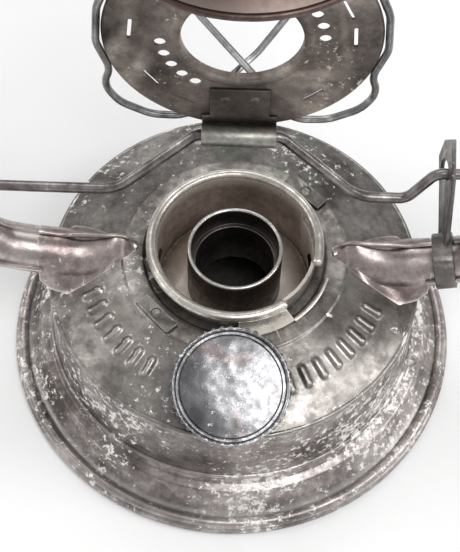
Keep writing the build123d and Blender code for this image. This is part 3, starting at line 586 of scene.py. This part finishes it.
def tube_height(x):
    """Height of the sloping tube's axis."""
    return 41 + (x - 45) * math.tan(tube_slope)


for side in (-1, 1):
    alone()
    bpy.ops.mesh.primitive_cylinder_add(vertices=96, radius=tube_radius * MM, depth=9 * MM)
    mouth = bpy.context.object
    settled(mouth, turn=(0, side * (90 - slope_deg), 0), place=(side * 25, 0, tube_height(25)))
    cut_away(cup, mouth)
lip_angles = [gap_end + 2.0 * step for step in range(159)]
lip_angles[-1] = gap_start + 360
lip = bent_wire(
    "cup_lip", [on_circle(lip_ring, angle, lip_height) for angle in lip_angles], (), lip_roll, sides=6
)
alone(lip)
bpy.ops.object.mode_set(mode="EDIT")
for angle in (gap_start, gap_end):
    bpy.ops.mesh.select_all(action="DESELECT")
    bpy.ops.mesh.primitive_uv_sphere_add(
        segments=28,
        ring_count=16,
        radius=lip_roll * MM,
        location=on_circle(lip_ring, angle, lip_height) * MM,
    )
bpy.ops.object.mode_set(mode="OBJECT")
flap_sweep = 35.0
flap_start = (gap_start + gap_end) / 2 - flap_sweep / 2
flap = drawn_line("cup_flap", [(21.75, 0, 46.2), (23.2, 0, 45.75), (26.4, 0, 45.2)], (3.0,))
spun(flap, 40, sweep=flap_sweep, inside=(24, 0, 0))
settled(flap, turn=(0, 0, flap_start))
thicken(flap, sheet)
flap_edge_line = [on_circle(26.3, flap_start + 2.5 * step, 44.8) for step in range(15)]
flap_edge = bent_wire("flap_edge", flap_edge_line, (), 0.55)
gathered(cup, lip, flap, flap_edge)
dress(cup, cup_tin, "frame", ["burner_cup"])

# The burner neck, a turned collar in the middle of the cup that the burner is let down into.
# Its rim is worn pale and painted brighter still as a highlight, and its inside is black with soot and old
# oil.
# The pale band at the top of the rim is partly worn tin, partly a painted highlight.
neck_tin = aged_tin(
    "neck_tin", tone(84, 78, 76), tone(132, 124, 120), tone(236, 232, 226), flakes=0.35, rough=0.26,
    zone=("Z", 46.8, 47.2, tone(234, 231, 226)),
)
neck_line = (
    (12.0, 44.0), (12.0, 47.6), (13.1, 47.6), (13.1, 25.0), (10.8, 25.0), (10.8, 41.0), (12.0, 41.0),
    (12.0, 44.0),
)
neck_bends = (0.5, 0.5, 0.1, 0.1, 0.3, 0.2)
neck = drawn_line("burner_neck_collar", [(r, 0, z) for r, z in neck_line], neck_bends, steps=4)
spun(neck, 180, inside=(11.5, 0, 44))
facing_out(neck)
dress(neck, neck_tin, "frame", ["burner_neck"])

# Two spring clips of bright sheet on the ledge, each with a round dimple, soldered flat.
# They are copies of the fitted solids with their corners merged and their edges rounded.
def softened(name, node, rounding, segments=2, sharp=35):
    """A copy of a CAD node with its loose triangles merged and its sharp edges rounded."""
    alone()
    piece = bpy.data.objects.new(name, frame["nodes"][node].data.copy())
    bpy.context.scene.collection.objects.link(piece)
    alone(piece)
    bpy.ops.object.mode_set(mode="EDIT")
    bpy.ops.mesh.select_all(action="SELECT")
    bpy.ops.mesh.remove_doubles(threshold=0.004 * MM)
    bpy.ops.mesh.dissolve_limited(angle_limit=math.radians(2))
    bpy.ops.object.mode_set(mode="OBJECT")
    if rounding:
        edges = piece.modifiers.new("edges", "BEVEL")
        edges.width = rounding * MM
        edges.segments = segments
        edges.limit_method = "ANGLE"
        edges.angle_limit = math.radians(sharp)
        edges.harden_normals = True
        bpy.ops.object.modifier_apply(modifier="edges")
    return piece


clips = softened("spring_clips", "ledge_clips", 0.25)
clip_tin = aged_tin("clip_tin", tone(122, 118, 114), tone(184, 180, 175), tone(238, 236, 231), rub=0)
dress(clips, clip_tin, "frame", ["ledge_clips"], smooth=30)

# The filler neck leans forward out of the dome, and the cap's cork ring sits on its rim.
# Both hide under the cap until it is unscrewed.
def on_filler(piece):
    """Moves a piece from the upright axis onto the tilted axis of the filler."""
    return settled(piece, turn=(24, 0, 0), place=(0, -44, 52))


spout_line = ((12, -3.15), (12, -15), (11.1, -15), (11.1, -5.15), (9.4, -4.35), (9.4, -3.15), (12, -3.15))
spout = drawn_line("filler_spout", [(r, 0, s) for r, s in spout_line], (0, 0.1, 0.4, 0.3, 0.3))
spun(spout, 128, inside=(10.7, 0, -3.8))
on_filler(spout)
dress(spout, neck_tin, "frame", ["filler_neck"])

cork_line = ((11.9, -3.08), (11.9, -1.72), (9.5, -1.72), (9.5, -3.08), (11.9, -3.08))
cork = drawn_line("cap_seal", [(r, 0, s) for r, s in cork_line], (0.25, 0.25, 0.25))
spun(cork, 128, inside=(10.7, 0, -2.4))
on_filler(cork)
cork_finish, here = new_finish("old_cork")
cork_grain = put(cork_finish, "TexVoronoi", {"Vector": here, "Scale": 900.0})
cork_steps = put(cork_finish, "ValToRGB", {"Fac": cork_grain.outputs["Distance"]})
cork_steps.color_ramp.elements[0].color = tone(66, 46, 32)
cork_steps.color_ramp.elements[1].color = tone(150, 116, 82)
cork_bump = put(cork_finish, "Bump", {"Height": cork_grain.outputs["Distance"], "Distance": 0.0001})
cork_skin = put(
    cork_finish,
    "BsdfPrincipled",
    {"Base Color": cork_steps.outputs["Color"], "Roughness": 0.85, "Normal": cork_bump.outputs[0]},
)
put(cork_finish, "OutputMaterial", {"Surface": cork_skin.outputs[0]})
dress(cork, cork_finish, "cap_lift", ["filler_gasket"])

# The filler cap, pressed from one disc: a crowned middle, a sunk channel and a skirt whose edge is
# scalloped for the fingers. Handling has kept it brighter than the tank.
# The cap's corners get only a light painted shade.
cap_tin = aged_tin(
    "cap_tin", tone(112, 111, 113), tone(176, 175, 178), tone(240, 239, 237), flakes=0.25, rough=0.2,
    dents=0.8, stain=tone(148, 106, 84), stain_edge=0.68, rub=0, darkest_painted_shade=0.9,
)
cap_line = (
    (0, -0.25), (6.55, -0.37), (13.1, -0.75), (13.2, -1.5), (14.1, -1.5), (14.3, -0.3), (14.7, 0.0),
    (15.15, 0.0), (15.6, -0.6), (15.6, -7.9), (15.0, -8.5), (12.4, -8.5), (12.4, -1.65), (0, -1.65),
)
cap_bends = (40.0, 0.35, 0.2, 0.2, 0.3, 0.4, 0.5, 0.6, 0.5, 0.4, 0.2, 0.3)
scallops, scallop_steps, scallop_depth, cap_radius, skirt_inside = 43, 8, 0.6, 15.6, 15.02
cap = drawn_line("filler_cap_disc", [(r, 0, s) for r, s in cap_line], cap_bends)
spun(cap, scallops * scallop_steps, inside=(14.0, 0, -1.7))
facing_out(cap)
bpy.ops.object.mode_set(mode="EDIT")
for phase in range(1, scallop_steps):
    depth = scallop_depth * (1 - math.cos(2 * math.pi * phase / scallop_steps)) / 2
    shrink = (cap_radius - depth) / cap_radius

    def in_valley(place):
        turn = math.atan2(place.y, place.x) / (2 * math.pi) * scallops * scallop_steps
        return math.hypot(place.x, place.y) > skirt_inside and round(turn) % scallop_steps == phase

    pick(cap, in_valley)
    bpy.ops.transform.resize(value=(shrink, shrink, 1), center_override=(0, 0, 0))
bpy.ops.object.mode_set(mode="OBJECT")
on_filler(cap)
dress(cap, cap_tin, "cap", ["filler_cap"], smooth=50)

# The saddles, leaf-shaped sheets beaten over the tubes' feet and soldered to the dome. A folded
# seam runs along the crest from the tip on the ledge to where the tube comes out.
saddle_tin = aged_tin(
    "saddle_tin", tone(132, 118, 115), tone(196, 183, 180), tone(238, 232, 228), flakes=0.7, rough=0.28,
    dents=0.3,
)
tip_x, wide_x, end_x = 27.2, 45.5, 53.5


def ease(low, high, value):
    """Goes smoothly from 0 to 1 as the value goes from low to high."""
    share = min(1, max(0, (value - low) / (high - low)))
    return share * share * (3 - 2 * share)


def dome_height(radius):
    """Height of the dome's skin at a distance from the middle."""
    if radius > 51:
        return 35.6
    if radius < 31.3:
        return 44.6 if radius < 30.7 else 44.6 - (radius - 30.7)
    return -32.176 + math.sqrt(78.33**2 - (radius - 13.054) ** 2)


def crest_place(x):
    """Place of the crest, a little behind the middle, before the seam is laid on it."""
    rise = 45.0 + 4.2 * math.sin(min(1, (x - tip_x) / 6.8) * math.pi / 2)
    over_tube = tube_height(x) + 7.2
    share = ease(43.5, 48.5, x)
    return 2.4 - ease(tip_x, 36, x), rise * (1 - share) + over_tube * share


def saddle_place(x, across):
    """Place on the saddle, by x and by the share of the half width, -1 at the front edge."""
    reach = (x - tip_x) / (wide_x - tip_x)
    half = 16.4 * reach - 5.2 * reach**2 if x < wide_x else 11.2 - 4.0 * (x - wide_x) / (end_x - wide_x)
    half = max(half, 0.25)
    side, share = (1 if across > 0 else -1), abs(across)
    base = dome_height(math.hypot(x, half))
    crest_y, crest_z = crest_place(x)
    tent_y = crest_y + (side * half - crest_y) * share
    tent_z = crest_z + (base - crest_z) * share**1.25
    base += (tube_height(x) - 4.5 - base) * ease(48.5, end_x, x)
    round_radius, middle = 7.0 - 0.4 * ease(46, end_x, x), tube_height(x)
    if share < 0.7:
        turn = share / 0.7 * math.radians(88)
        hoop_y = side * round_radius * math.sin(turn) + crest_y * (1 - share / 0.7) * 0.3
        hoop_z = middle + 1.03 * round_radius * math.cos(turn)
    else:
        run = (share - 0.7) / 0.3
        foot_y, foot_z = round_radius * math.sin(math.radians(88)), middle + 0.036 * round_radius
        hoop_y = side * (foot_y + (half - foot_y) * run**1.6)
        hoop_z = foot_z + (base - foot_z) * run
    mix = ease(30, 47, x)
    return Vector((x, tent_y * (1 - mix) + hoop_y * mix, tent_z * (1 - mix) + hoop_z * mix))


alone()
bpy.ops.mesh.primitive_grid_add(x_subdivisions=72, y_subdivisions=48, size=2)
saddle_right = bpy.context.object
saddle_right.name = "saddle_leaf_right"
for corner in saddle_right.data.vertices:
    x = tip_x + (end_x - tip_x) * (corner.co.x + 1) / 2
    corner.co = saddle_place(x, corner.co.y) * MM
thicken(saddle_right, 0.8, even=False)
seam_places = [tip_x + 0.6 + 1.5 * step for step in range(18)]
seam = bent_wire(
    "saddle_seam", [(x, crest_place(x)[0], crest_place(x)[1] + 0.15) for x in seam_places], (), 0.62
)
gathered(saddle_right, seam)


def mirrored(piece, name):
    """A copy of a piece on the other side of the lantern, with a mesh of its own."""
    alone(piece)
    bpy.ops.object.duplicate()
    copy = bpy.context.object
    copy.name = name
    bpy.ops.object.mode_set(mode="EDIT")
    bpy.ops.mesh.select_all(action="SELECT")
    bpy.ops.transform.resize(value=(-1, 1, 1), center_override=(0, 0, 0))
    bpy.ops.mesh.flip_normals()
    bpy.ops.object.mode_set(mode="OBJECT")
    return copy


saddle_left = mirrored(saddle_right, "saddle_leaf_left")
dress(saddle_right, saddle_tin, "frame", ["saddle_right"], smooth=50)
dress(saddle_left, saddle_tin, "frame", ["saddle_left"], smooth=50)

# The side tubes carry fresh air down from the top. Each is pressed as two halves whose edges are
# folded over each other, and the folds stand out as seams along the tube.
tube_tin = aged_tin(
    "tube_tin", tone(134, 124, 121), tone(200, 189, 186), tone(238, 233, 229), flakes=0.6, rough=0.27
)
tube_x, tube_top, tube_wall, low_bend, high_bend = 73.5, 203.0, 0.8, 16.5, 18.0
seam_fold = 0.9
run_normals = ((-math.sin(tube_slope), math.cos(tube_slope)), (-1.0, 0.0), (0.0, -1.0))


def tube_path(start_x, stop_x):
    """Corners of the tube's axis as X and Z, from inside the cup up and over into the drum."""
    foot, knee = (start_x, tube_height(start_x)), (tube_x, tube_height(tube_x))
    return foot, knee, (tube_x, tube_top), (stop_x, tube_top)


def beside_tube(start_x, stop_x, distance, around):
    """Corners and bends of a line along the tube, at a distance and an angle round its axis."""
    shift = distance * math.cos(math.radians(around))
    y = distance * math.sin(math.radians(around))
    path = tube_path(start_x, stop_x)
    low, middle, high = run_normals
    corners = [(path[0][0] + shift * low[0], y, path[0][1] + shift * low[1])]
    for place, before, after in ((path[1], low, middle), (path[2], middle, high)):
        reach = shift / (1 + before[0] * after[0] + before[1] * after[1])
        corners.append((
            place[0] + reach * (before[0] + after[0]), y, place[1] + reach * (before[1] + after[1])
        ))
    corners.append((path[3][0] + shift * high[0], y, path[3][1] + shift * high[1]))
    return corners, (low_bend - shift, high_bend - shift)


def tube_seam(name, start_x, stop_x, around):
    """A folded seam along the tube: a strip that stands on it, with the thickness of the fold."""
    lines = []
    for distance in (6.2, 7.65):
        corners, bends = beside_tube(start_x, stop_x, distance, around)
        lines.append(drawn_line(name, corners, bends, steps=14))
    gathered(*lines)
    bpy.ops.object.mode_set(mode="EDIT")
    bpy.ops.mesh.select_all(action="SELECT")
    bpy.ops.mesh.bridge_edge_loops()
    bpy.ops.object.mode_set(mode="OBJECT")
    thicken(lines[0], seam_fold, share=0.0)
    edges = lines[0].modifiers.new("edges", "BEVEL")
    edges.width = 0.25 * MM
    edges.segments = 2
    edges.angle_limit = math.radians(50)
    bpy.ops.object.modifier_apply(modifier="edges")
    return lines[0]


def side_tube(name, seam_start):
    """The right-hand tube with its two seams, open at the burner cup and at the drum."""
    axis = [(x, 0, z) for x, z in tube_path(16.0, 30.3)]
    tube = bent_wire(name, axis, (low_bend, high_bend), tube_radius, sides=14, capped=False)
    thicken(tube, tube_wall)
    alone()
    bpy.ops.mesh.primitive_cylinder_add(vertices=180, radius=21.3 * MM, depth=60 * MM)
    well = bpy.context.object
    settled(well, place=(0, 0, 30))
    cut_away(tube, well)
    seams = [tube_seam("seam", seam_start, 52.0, 12), tube_seam("seam", 52.5, 52.0, -83)]
    gathered(tube, *seams)
    return tube


tube_right = side_tube("side_tube_right", 60.8)
tube_left = mirrored(side_tube("tube_for_left", 53.0), "side_tube_left")
bpy.data.objects.remove(bpy.data.objects["tube_for_left"])
dress(tube_right, tube_tin, "frame", ["tube_right"])
dress(tube_left, tube_tin, "frame", ["tube_left"])

# The lifting wire, a crank of hard round wire across the lantern. Its raised middle carries the
# globe cage, its right end is bent down as the lever, and its left end is hooked over.
def dark_wire(name, deep, common, worn, rough=0.34):
    """Steel wire gone dark, drawn smooth, with rubbed and rusty places."""
    finish, here = new_finish(name)
    clouds = put(finish, "TexNoise", {"Vector": here, "Scale": 160.0, "Detail": 5.0, "Roughness": 0.65})
    steps = put(finish, "ValToRGB", {"Fac": clouds.outputs["Fac"]})
    steps.color_ramp.elements[0].position = 0.35
    steps.color_ramp.elements[0].color = deep
    steps.color_ramp.elements[1].position = 0.6
    steps.color_ramp.elements[1].color = common
    bright = steps.color_ramp.elements.new(0.72)
    bright.color = worn
    specks = put(finish, "TexNoise", {"Vector": here, "Scale": 1400.0, "Detail": 3.0})
    gloss = put(
        finish,
        "MapRange",
        {
            "Value": specks.outputs["Fac"],
            "From Min": 0.3,
            "From Max": 0.7,
            "To Min": rough + 0.14,
            "To Max": rough,
        },
    )
    grain = put(finish, "Bump", {"Height": specks.outputs["Fac"], "Strength": 0.3, "Distance": 0.00006})
    skin = put(
        finish,
        "BsdfPrincipled",
        {
            "Base Color": steps.outputs["Color"],
            "Metallic": 0.95,
            "Roughness": gloss.outputs[0],
            "Normal": grain.outputs[0],
        },
    )
    put(finish, "OutputMaterial", {"Surface": skin.outputs[0]})
    return finish


lifter_steel = dark_wire(
    "lifter_steel", tone(96, 91, 90), tone(156, 151, 149), tone(222, 219, 216), rough=0.26
)
crank_y, crank_z, crank_raised = 14.0, 53.5, math.radians(77)
crank_back, crank_up = math.cos(crank_raised), math.sin(crank_raised)
crank_path = (
    (-80, -7), (-80, 0), (-33, 0), (-11.3, 20.5), (11.3, 20.5), (33, 0), (46.5, 0), (53.5, 9.4),
    (84.5, 9.4), (84.5, -20), (87.5, -26),
)
lifter = bent_wire(
    "lifting_wire",
    [(x, crank_y + throw * crank_back, crank_z + throw * crank_up) for x, throw in crank_path],
    (2.5, 10, 3.5, 3.5, 10, 4, 4, 4, 4),
    1.5,
    sides=6,
)
dress(lifter, lifter_steel, "lifter", ["lifter_wire"], smooth=40)

# The quadrant, a sheet plate with a collar round the right tube. The wire's offset runs in its
# slot and stops at the ends. The left end of the wire turns in a plain strap on the left tube.
fitting_tin = aged_tin("fitting_tin", tone(92, 88, 86), tone(150, 144, 142), tone(234, 230, 226), rub=0)
quadrant = softened("quadrant_plate", "lift_quadrant", 0.18)
dress(quadrant, fitting_tin, "frame", ["lift_quadrant"], smooth=30)
bearing = softened("bearing_strap", "wire_bearing", 0.18)
dress(bearing, fitting_tin, "frame", ["wire_bearing"], smooth=30)

# The hinge: a barrel rolled round the wire's raised middle, and the leaf's knuckle rolled round
# the barrel. The leaf runs up the plate and two flat rivets hold it there.
hinge_y, hinge_z = 18.611, 73.475
plate_y, plate_z = 21.671, 107.975
# Low down, on the knuckle and the barrel, the tone turns pale and more metallic: a painted highlight along
# the hinge.
leaf_steel = aged_tin(
    "leaf_steel", tone(82, 75, 71), tone(128, 119, 113), tone(220, 217, 212), flakes=0.6, rough=0.38,
    metal=0.75, stain=tone(92, 84, 79), stain_edge=0.54, rub=0, zone=("Z", 77.2, 75.9, tone(176, 175, 168)),
)
barrel_line = ((1.6, -9.75), (2.26, -9.75), (2.26, 9.75), (1.6, 9.75), (1.6, -9.75))
barrel = drawn_line("hinge_roll", [(r, 0, x) for r, x in barrel_line], (0.15, 0.15, 0.15))
spun(barrel, 48, inside=(1.9, 0, 0))
settled(barrel, turn=(0, 90, 0), place=(0, hinge_y, hinge_z))
dress(barrel, leaf_steel, "barrel", ["hinge_barrel"])

leaf = softened("hinge_plate_leaf", "hinge_leaf", 0.12)
dress(leaf, leaf_steel, "cage", ["hinge_leaf"], smooth=30)
rivet_heads = []
for x in (-3.85, 3.85):
    alone()
    bpy.ops.mesh.primitive_uv_sphere_add(segments=32, ring_count=16, radius=1.3 * MM)
    head = bpy.context.object
    head.name = "leaf_rivet_heads"
    bpy.ops.object.mode_set(mode="EDIT")
    bpy.ops.mesh.select_all(action="SELECT")
    bpy.ops.mesh.bisect(plane_co=(0, 0, 0), plane_no=(0, 0, 1), use_fill=True, clear_inner=True)
    bpy.ops.mesh.select_all(action="SELECT")
    bpy.ops.transform.resize(value=(1, 1, 0.3), center_override=(0, 0, 0))
    bpy.ops.object.mode_set(mode="OBJECT")
    settled(head, turn=(90, 0, 0), place=(x, plate_y - 0.7, hinge_z + 12))
    rivet_heads.append(head)
joined(*rivet_heads)
dress(rivet_heads[0], leaf_steel, "cage", ["leaf_rivets"])

# The globe plate, a pressed disc with a rolled rim, a collar round its hole, two rows of round
# holes and eight narrow slots for the air. Soot and burnt oil have left it brown and dull.
plate_soot = aged_tin(
    "plate_soot", tone(64, 57, 53), tone(158, 147, 140), tone(222, 215, 207), patch=38, flakes=0.45,
    rough=0.42, metal=0.75, stain=tone(206, 195, 185), stain_edge=0.47, rub=0,
)


def on_plate(piece):
    """Moves a piece from the Z axis onto the axis of the tilted plate."""
    return settled(piece, turn=(-90, 0, 0), place=(0, plate_y, plate_z))


plate_line = (
    (20, 0), (33.3, 0), (33.3, 0.8), (17.2, 0.8), (16.4, 1.4), (16.4, 2.5), (15, 2.5), (15, -0.35),
    (16.9, -0.35), (17.6, 0), (20, 0),
)
plate_bends = (0, 0, 0.6, 0.6, 0.5, 0.5, 0.8, 0.8, 0.8)
plate = drawn_line("globe_plate_disc", [(r, 0, h) for r, h in plate_line], plate_bends, steps=4)
spun(plate, 240, inside=(24, 0, 0.4))
facing_out(plate)
hole_ring, hole_radius, hole_step = 20.1, 1.5, 12.6
slot_ring, slot_width, slot_length, punch_depth = 27.4, 0.9, 7.0, 4.0
punches = []
for first in (4.0, 184.8):
    for index in range(5):
        alone()
        bpy.ops.mesh.primitive_cylinder_add(
            vertices=32,
            radius=hole_radius * MM,
            depth=punch_depth * MM,
            location=on_circle(hole_ring, -(first + hole_step * index)) * MM,
        )
        punches.append(bpy.context.object)
for angle in (4.7, 25.5, 62.0, 118.0, 173.8, 214.5, 237.8, 312.2):
    alone()
    bpy.ops.mesh.primitive_cube_add(size=MM)
    slot_punch = bpy.context.object
    slot_punch.scale = (slot_width, slot_length, punch_depth)
    alone(slot_punch)
    bpy.ops.object.transform_apply(scale=True)
    rounding = slot_punch.modifiers.new("rounding", "BEVEL")
    rounding.width = 0.44 * MM
    rounding.segments = 5
    bpy.ops.object.modifier_apply(modifier="rounding")
    settled(slot_punch, turn=(0, 0, -angle), place=on_circle(slot_ring, -angle))
    punches.append(slot_punch)
for punch in punches:
    cut_away(plate, punch)
rolled_ring(plate, 33.3, 1.0, 1.0, 240)
on_plate(plate)
dress(plate, plate_soot, "cage", ["globe_plate"], smooth=35)

# The guard wires. Each runs from the ring at the globe's neck down one side, under the plate's rim
# with an ear at the corner, and back up the other side, and the two cross in front and behind.
guard_steel = dark_wire(
    "guard_steel", tone(100, 99, 99), tone(158, 157, 156), tone(216, 214, 212), rough=0.28
)
guard_radius, guard_bend = 1.0, 8.0


def cage_place(angle, radius, height):
    """Place on the cage, by direction from the right, radius, and height over the plate."""
    turn = math.radians(angle)
    return (radius * math.cos(turn), plate_y + height, plate_z - radius * math.sin(turn))


for side, shift in (("left", 1.4), ("right", -1.4)):
    guard_path = [
        (18, 23.6, 76.5), (24, 24.4, 70.4), (45, 34.3, 58.1), (70, 37.3, 39.4), (83, 38.3 + shift, 29.8),
        (97, 38.3 + shift, 18.0), (112, 35.4, 1.6), (126, 39.6, 1.4), (139, 41.5, 1.4),
        (150, 40.5, 1.4), (158, 35.4, 1.0), (175, 36.0, 1.0), (195, 36.0, 1.0), (212, 36.0, 2.0),
        (236, 37.7, 13.5), (262, 38.3 - shift, 29.1), (278, 38.3 - shift, 39.0), (305, 35.5, 55.1),
        (334, 24.4, 70.4), (342, 23.6, 76.5),
    ]
    if side == "right":
        guard_path = [(180 - angle, radius, height) for angle, radius, height in guard_path]
    corners = [cage_place(*place) for place in guard_path]
    guard = bent_wire(f"guard_{side}", corners, [guard_bend] * (len(corners) - 2), guard_radius)
    dress(guard, guard_steel, "cage", [f"guard_wire_{side}"], smooth=45)

# The ring of the same wire round the globe's neck. The guard wires are soldered to it, and the
# solder stands as four small drops where they meet.
alone()
bpy.ops.mesh.primitive_torus_add(
    major_segments=128, minor_segments=16, major_radius=21.5 * MM, minor_radius=guard_radius * MM
)
neck_ring = bpy.context.object
neck_ring.name = "guard_neck_ring"
bpy.ops.object.mode_set(mode="EDIT")
for meeting in (18, 162, 198, 342):
    bpy.ops.mesh.select_all(action="DESELECT")
    bpy.ops.mesh.primitive_uv_sphere_add(
        segments=24,
        ring_count=12,
        radius=1.4 * MM,
        location=on_circle(22.5, meeting) * MM,
    )
bpy.ops.object.mode_set(mode="OBJECT")
settled(neck_ring, turn=(90, 0, 0), place=(0, plate_y + 76.5, plate_z))
dress(neck_ring, guard_steel, "cage", ["guard_ring"])

# The air drum at the top, a pan and a lid folded together. The tubes end in it and the chimney
# slides through it.
drum_tin = aged_tin("drum_tin", tone(128, 121, 118), tone(190, 182, 178), tone(234, 230, 226), flakes=0.6)
drum_pan = drawn_line("drum_pan_shell", [(15.9, 0, 193), (33, 0, 193), (33, 0, 213)], (3.0,))
spun(drum_pan, 192, inside=(0, 0, 205))
thicken(drum_pan, sheet)
dress(drum_pan, drum_tin, "frame", ["drum_pan"])
drum_lid = drawn_line("drum_lid_disc", [(33, 0, 213.2), (18.9, 0, 215.5), (15.9, 0, 215.5)], (2.0,))
spun(drum_lid, 192, inside=(0, 0, 200))
thicken(drum_lid, sheet)
rolled_ring(drum_lid, 33.0, 214.0, 1.0)
dress(drum_lid, drum_tin, "frame", ["drum_lid"])

# The chimney, a plain tube that carries the globe hood below and the vented roof above. A collar
# on it holds the foot of the spring that presses the hood down on the globe.
hood_tin = aged_tin(
    "hood_tin", tone(72, 56, 52), tone(106, 88, 82), tone(176, 160, 152), flakes=0.35, rough=0.36,
    stain=tone(94, 72, 66), stain_edge=0.5,
)
flue_line = ((15.5, 181.5), (15.5, 220), (14.6, 220), (14.6, 181.5), (15.5, 181.5))
flue = drawn_line("chimney_flue", [(r, 0, z) for r, z in flue_line])
spun(flue, 128, inside=(15.05, 0, 200))
facing_out(flue)
dress(flue, hood_tin, "chimney", ["chimney_tube"])
hood_line = ((30.6, 175.2), (26, 179.6), (20, 182.4), (15.55, 182.4))
hood = drawn_line("globe_hood_bell", [(r, 0, z) for r, z in hood_line], (8.0, 2.0))
spun(hood, 192, inside=(0, 0, 165))
thicken(hood, sheet)
rolled_ring(hood, 30.2, 175.2, 0.8)
dress(hood, hood_tin, "chimney", ["globe_hood"])
collar = softened("spring_seat", "spring_collar", 0.15)
dress(collar, fitting_tin, "chimney", ["spring_collar"])
spring = frame["nodes"]["chimney_spring"]
spring_steel = dark_wire("spring_steel", tone(84, 84, 86), tone(140, 140, 142), tone(196, 196, 198))
spring.data.materials.clear()
spring.data.materials.append(spring_steel)

# The vented band and the roof let the smoke out and keep the rain off. The band is drilled all
# round, and the roof is pressed as a low cone with a rolled edge and a flat crown.
vents = softened("vented_band", "vent_band", 0.15)
dress(vents, fitting_tin, "chimney", ["vent_band"], smooth=30)
roof_line = ((27.5, 227), (26, 230.7), (19.5, 233.4), (9, 243), (7.5, 249), (0, 249))
roof = drawn_line("roof_cone", [(r, 0, z) for r, z in roof_line], (1.5, 3.0, 2.0, 3.0))
spun(roof, 192, inside=(0, 0, 220))
thicken(roof, sheet)
rolled_ring(roof, 27.05, 227.0, 0.9)
dress(roof, drum_tin, "chimney", ["hood_roof"])

# The bail, a handle of bent wire. Its ends are hooked through two small ears soldered on the
# upper run of the tubes.
ears = softened("bail_ear_tabs", "bail_ears", 0.18)
dress(ears, fitting_tin, "frame", ["bail_ears"], smooth=30)
bail_half = ((42.5, 219.5), (42.5, 215.5), (52, 215.5), (62, 250), (46, 302))
bail_path = [(-x, 0, z) for x, z in bail_half] + [(x, 0, z) for x, z in reversed(bail_half)]
bail_bends = (2.2, 4.0, 34.0, 34.0)
bail = bent_wire("bail_handle", bail_path, (*bail_bends, *reversed(bail_bends)), 1.3)
dress(bail, lifter_steel, "bail", ["bail"], smooth=40)
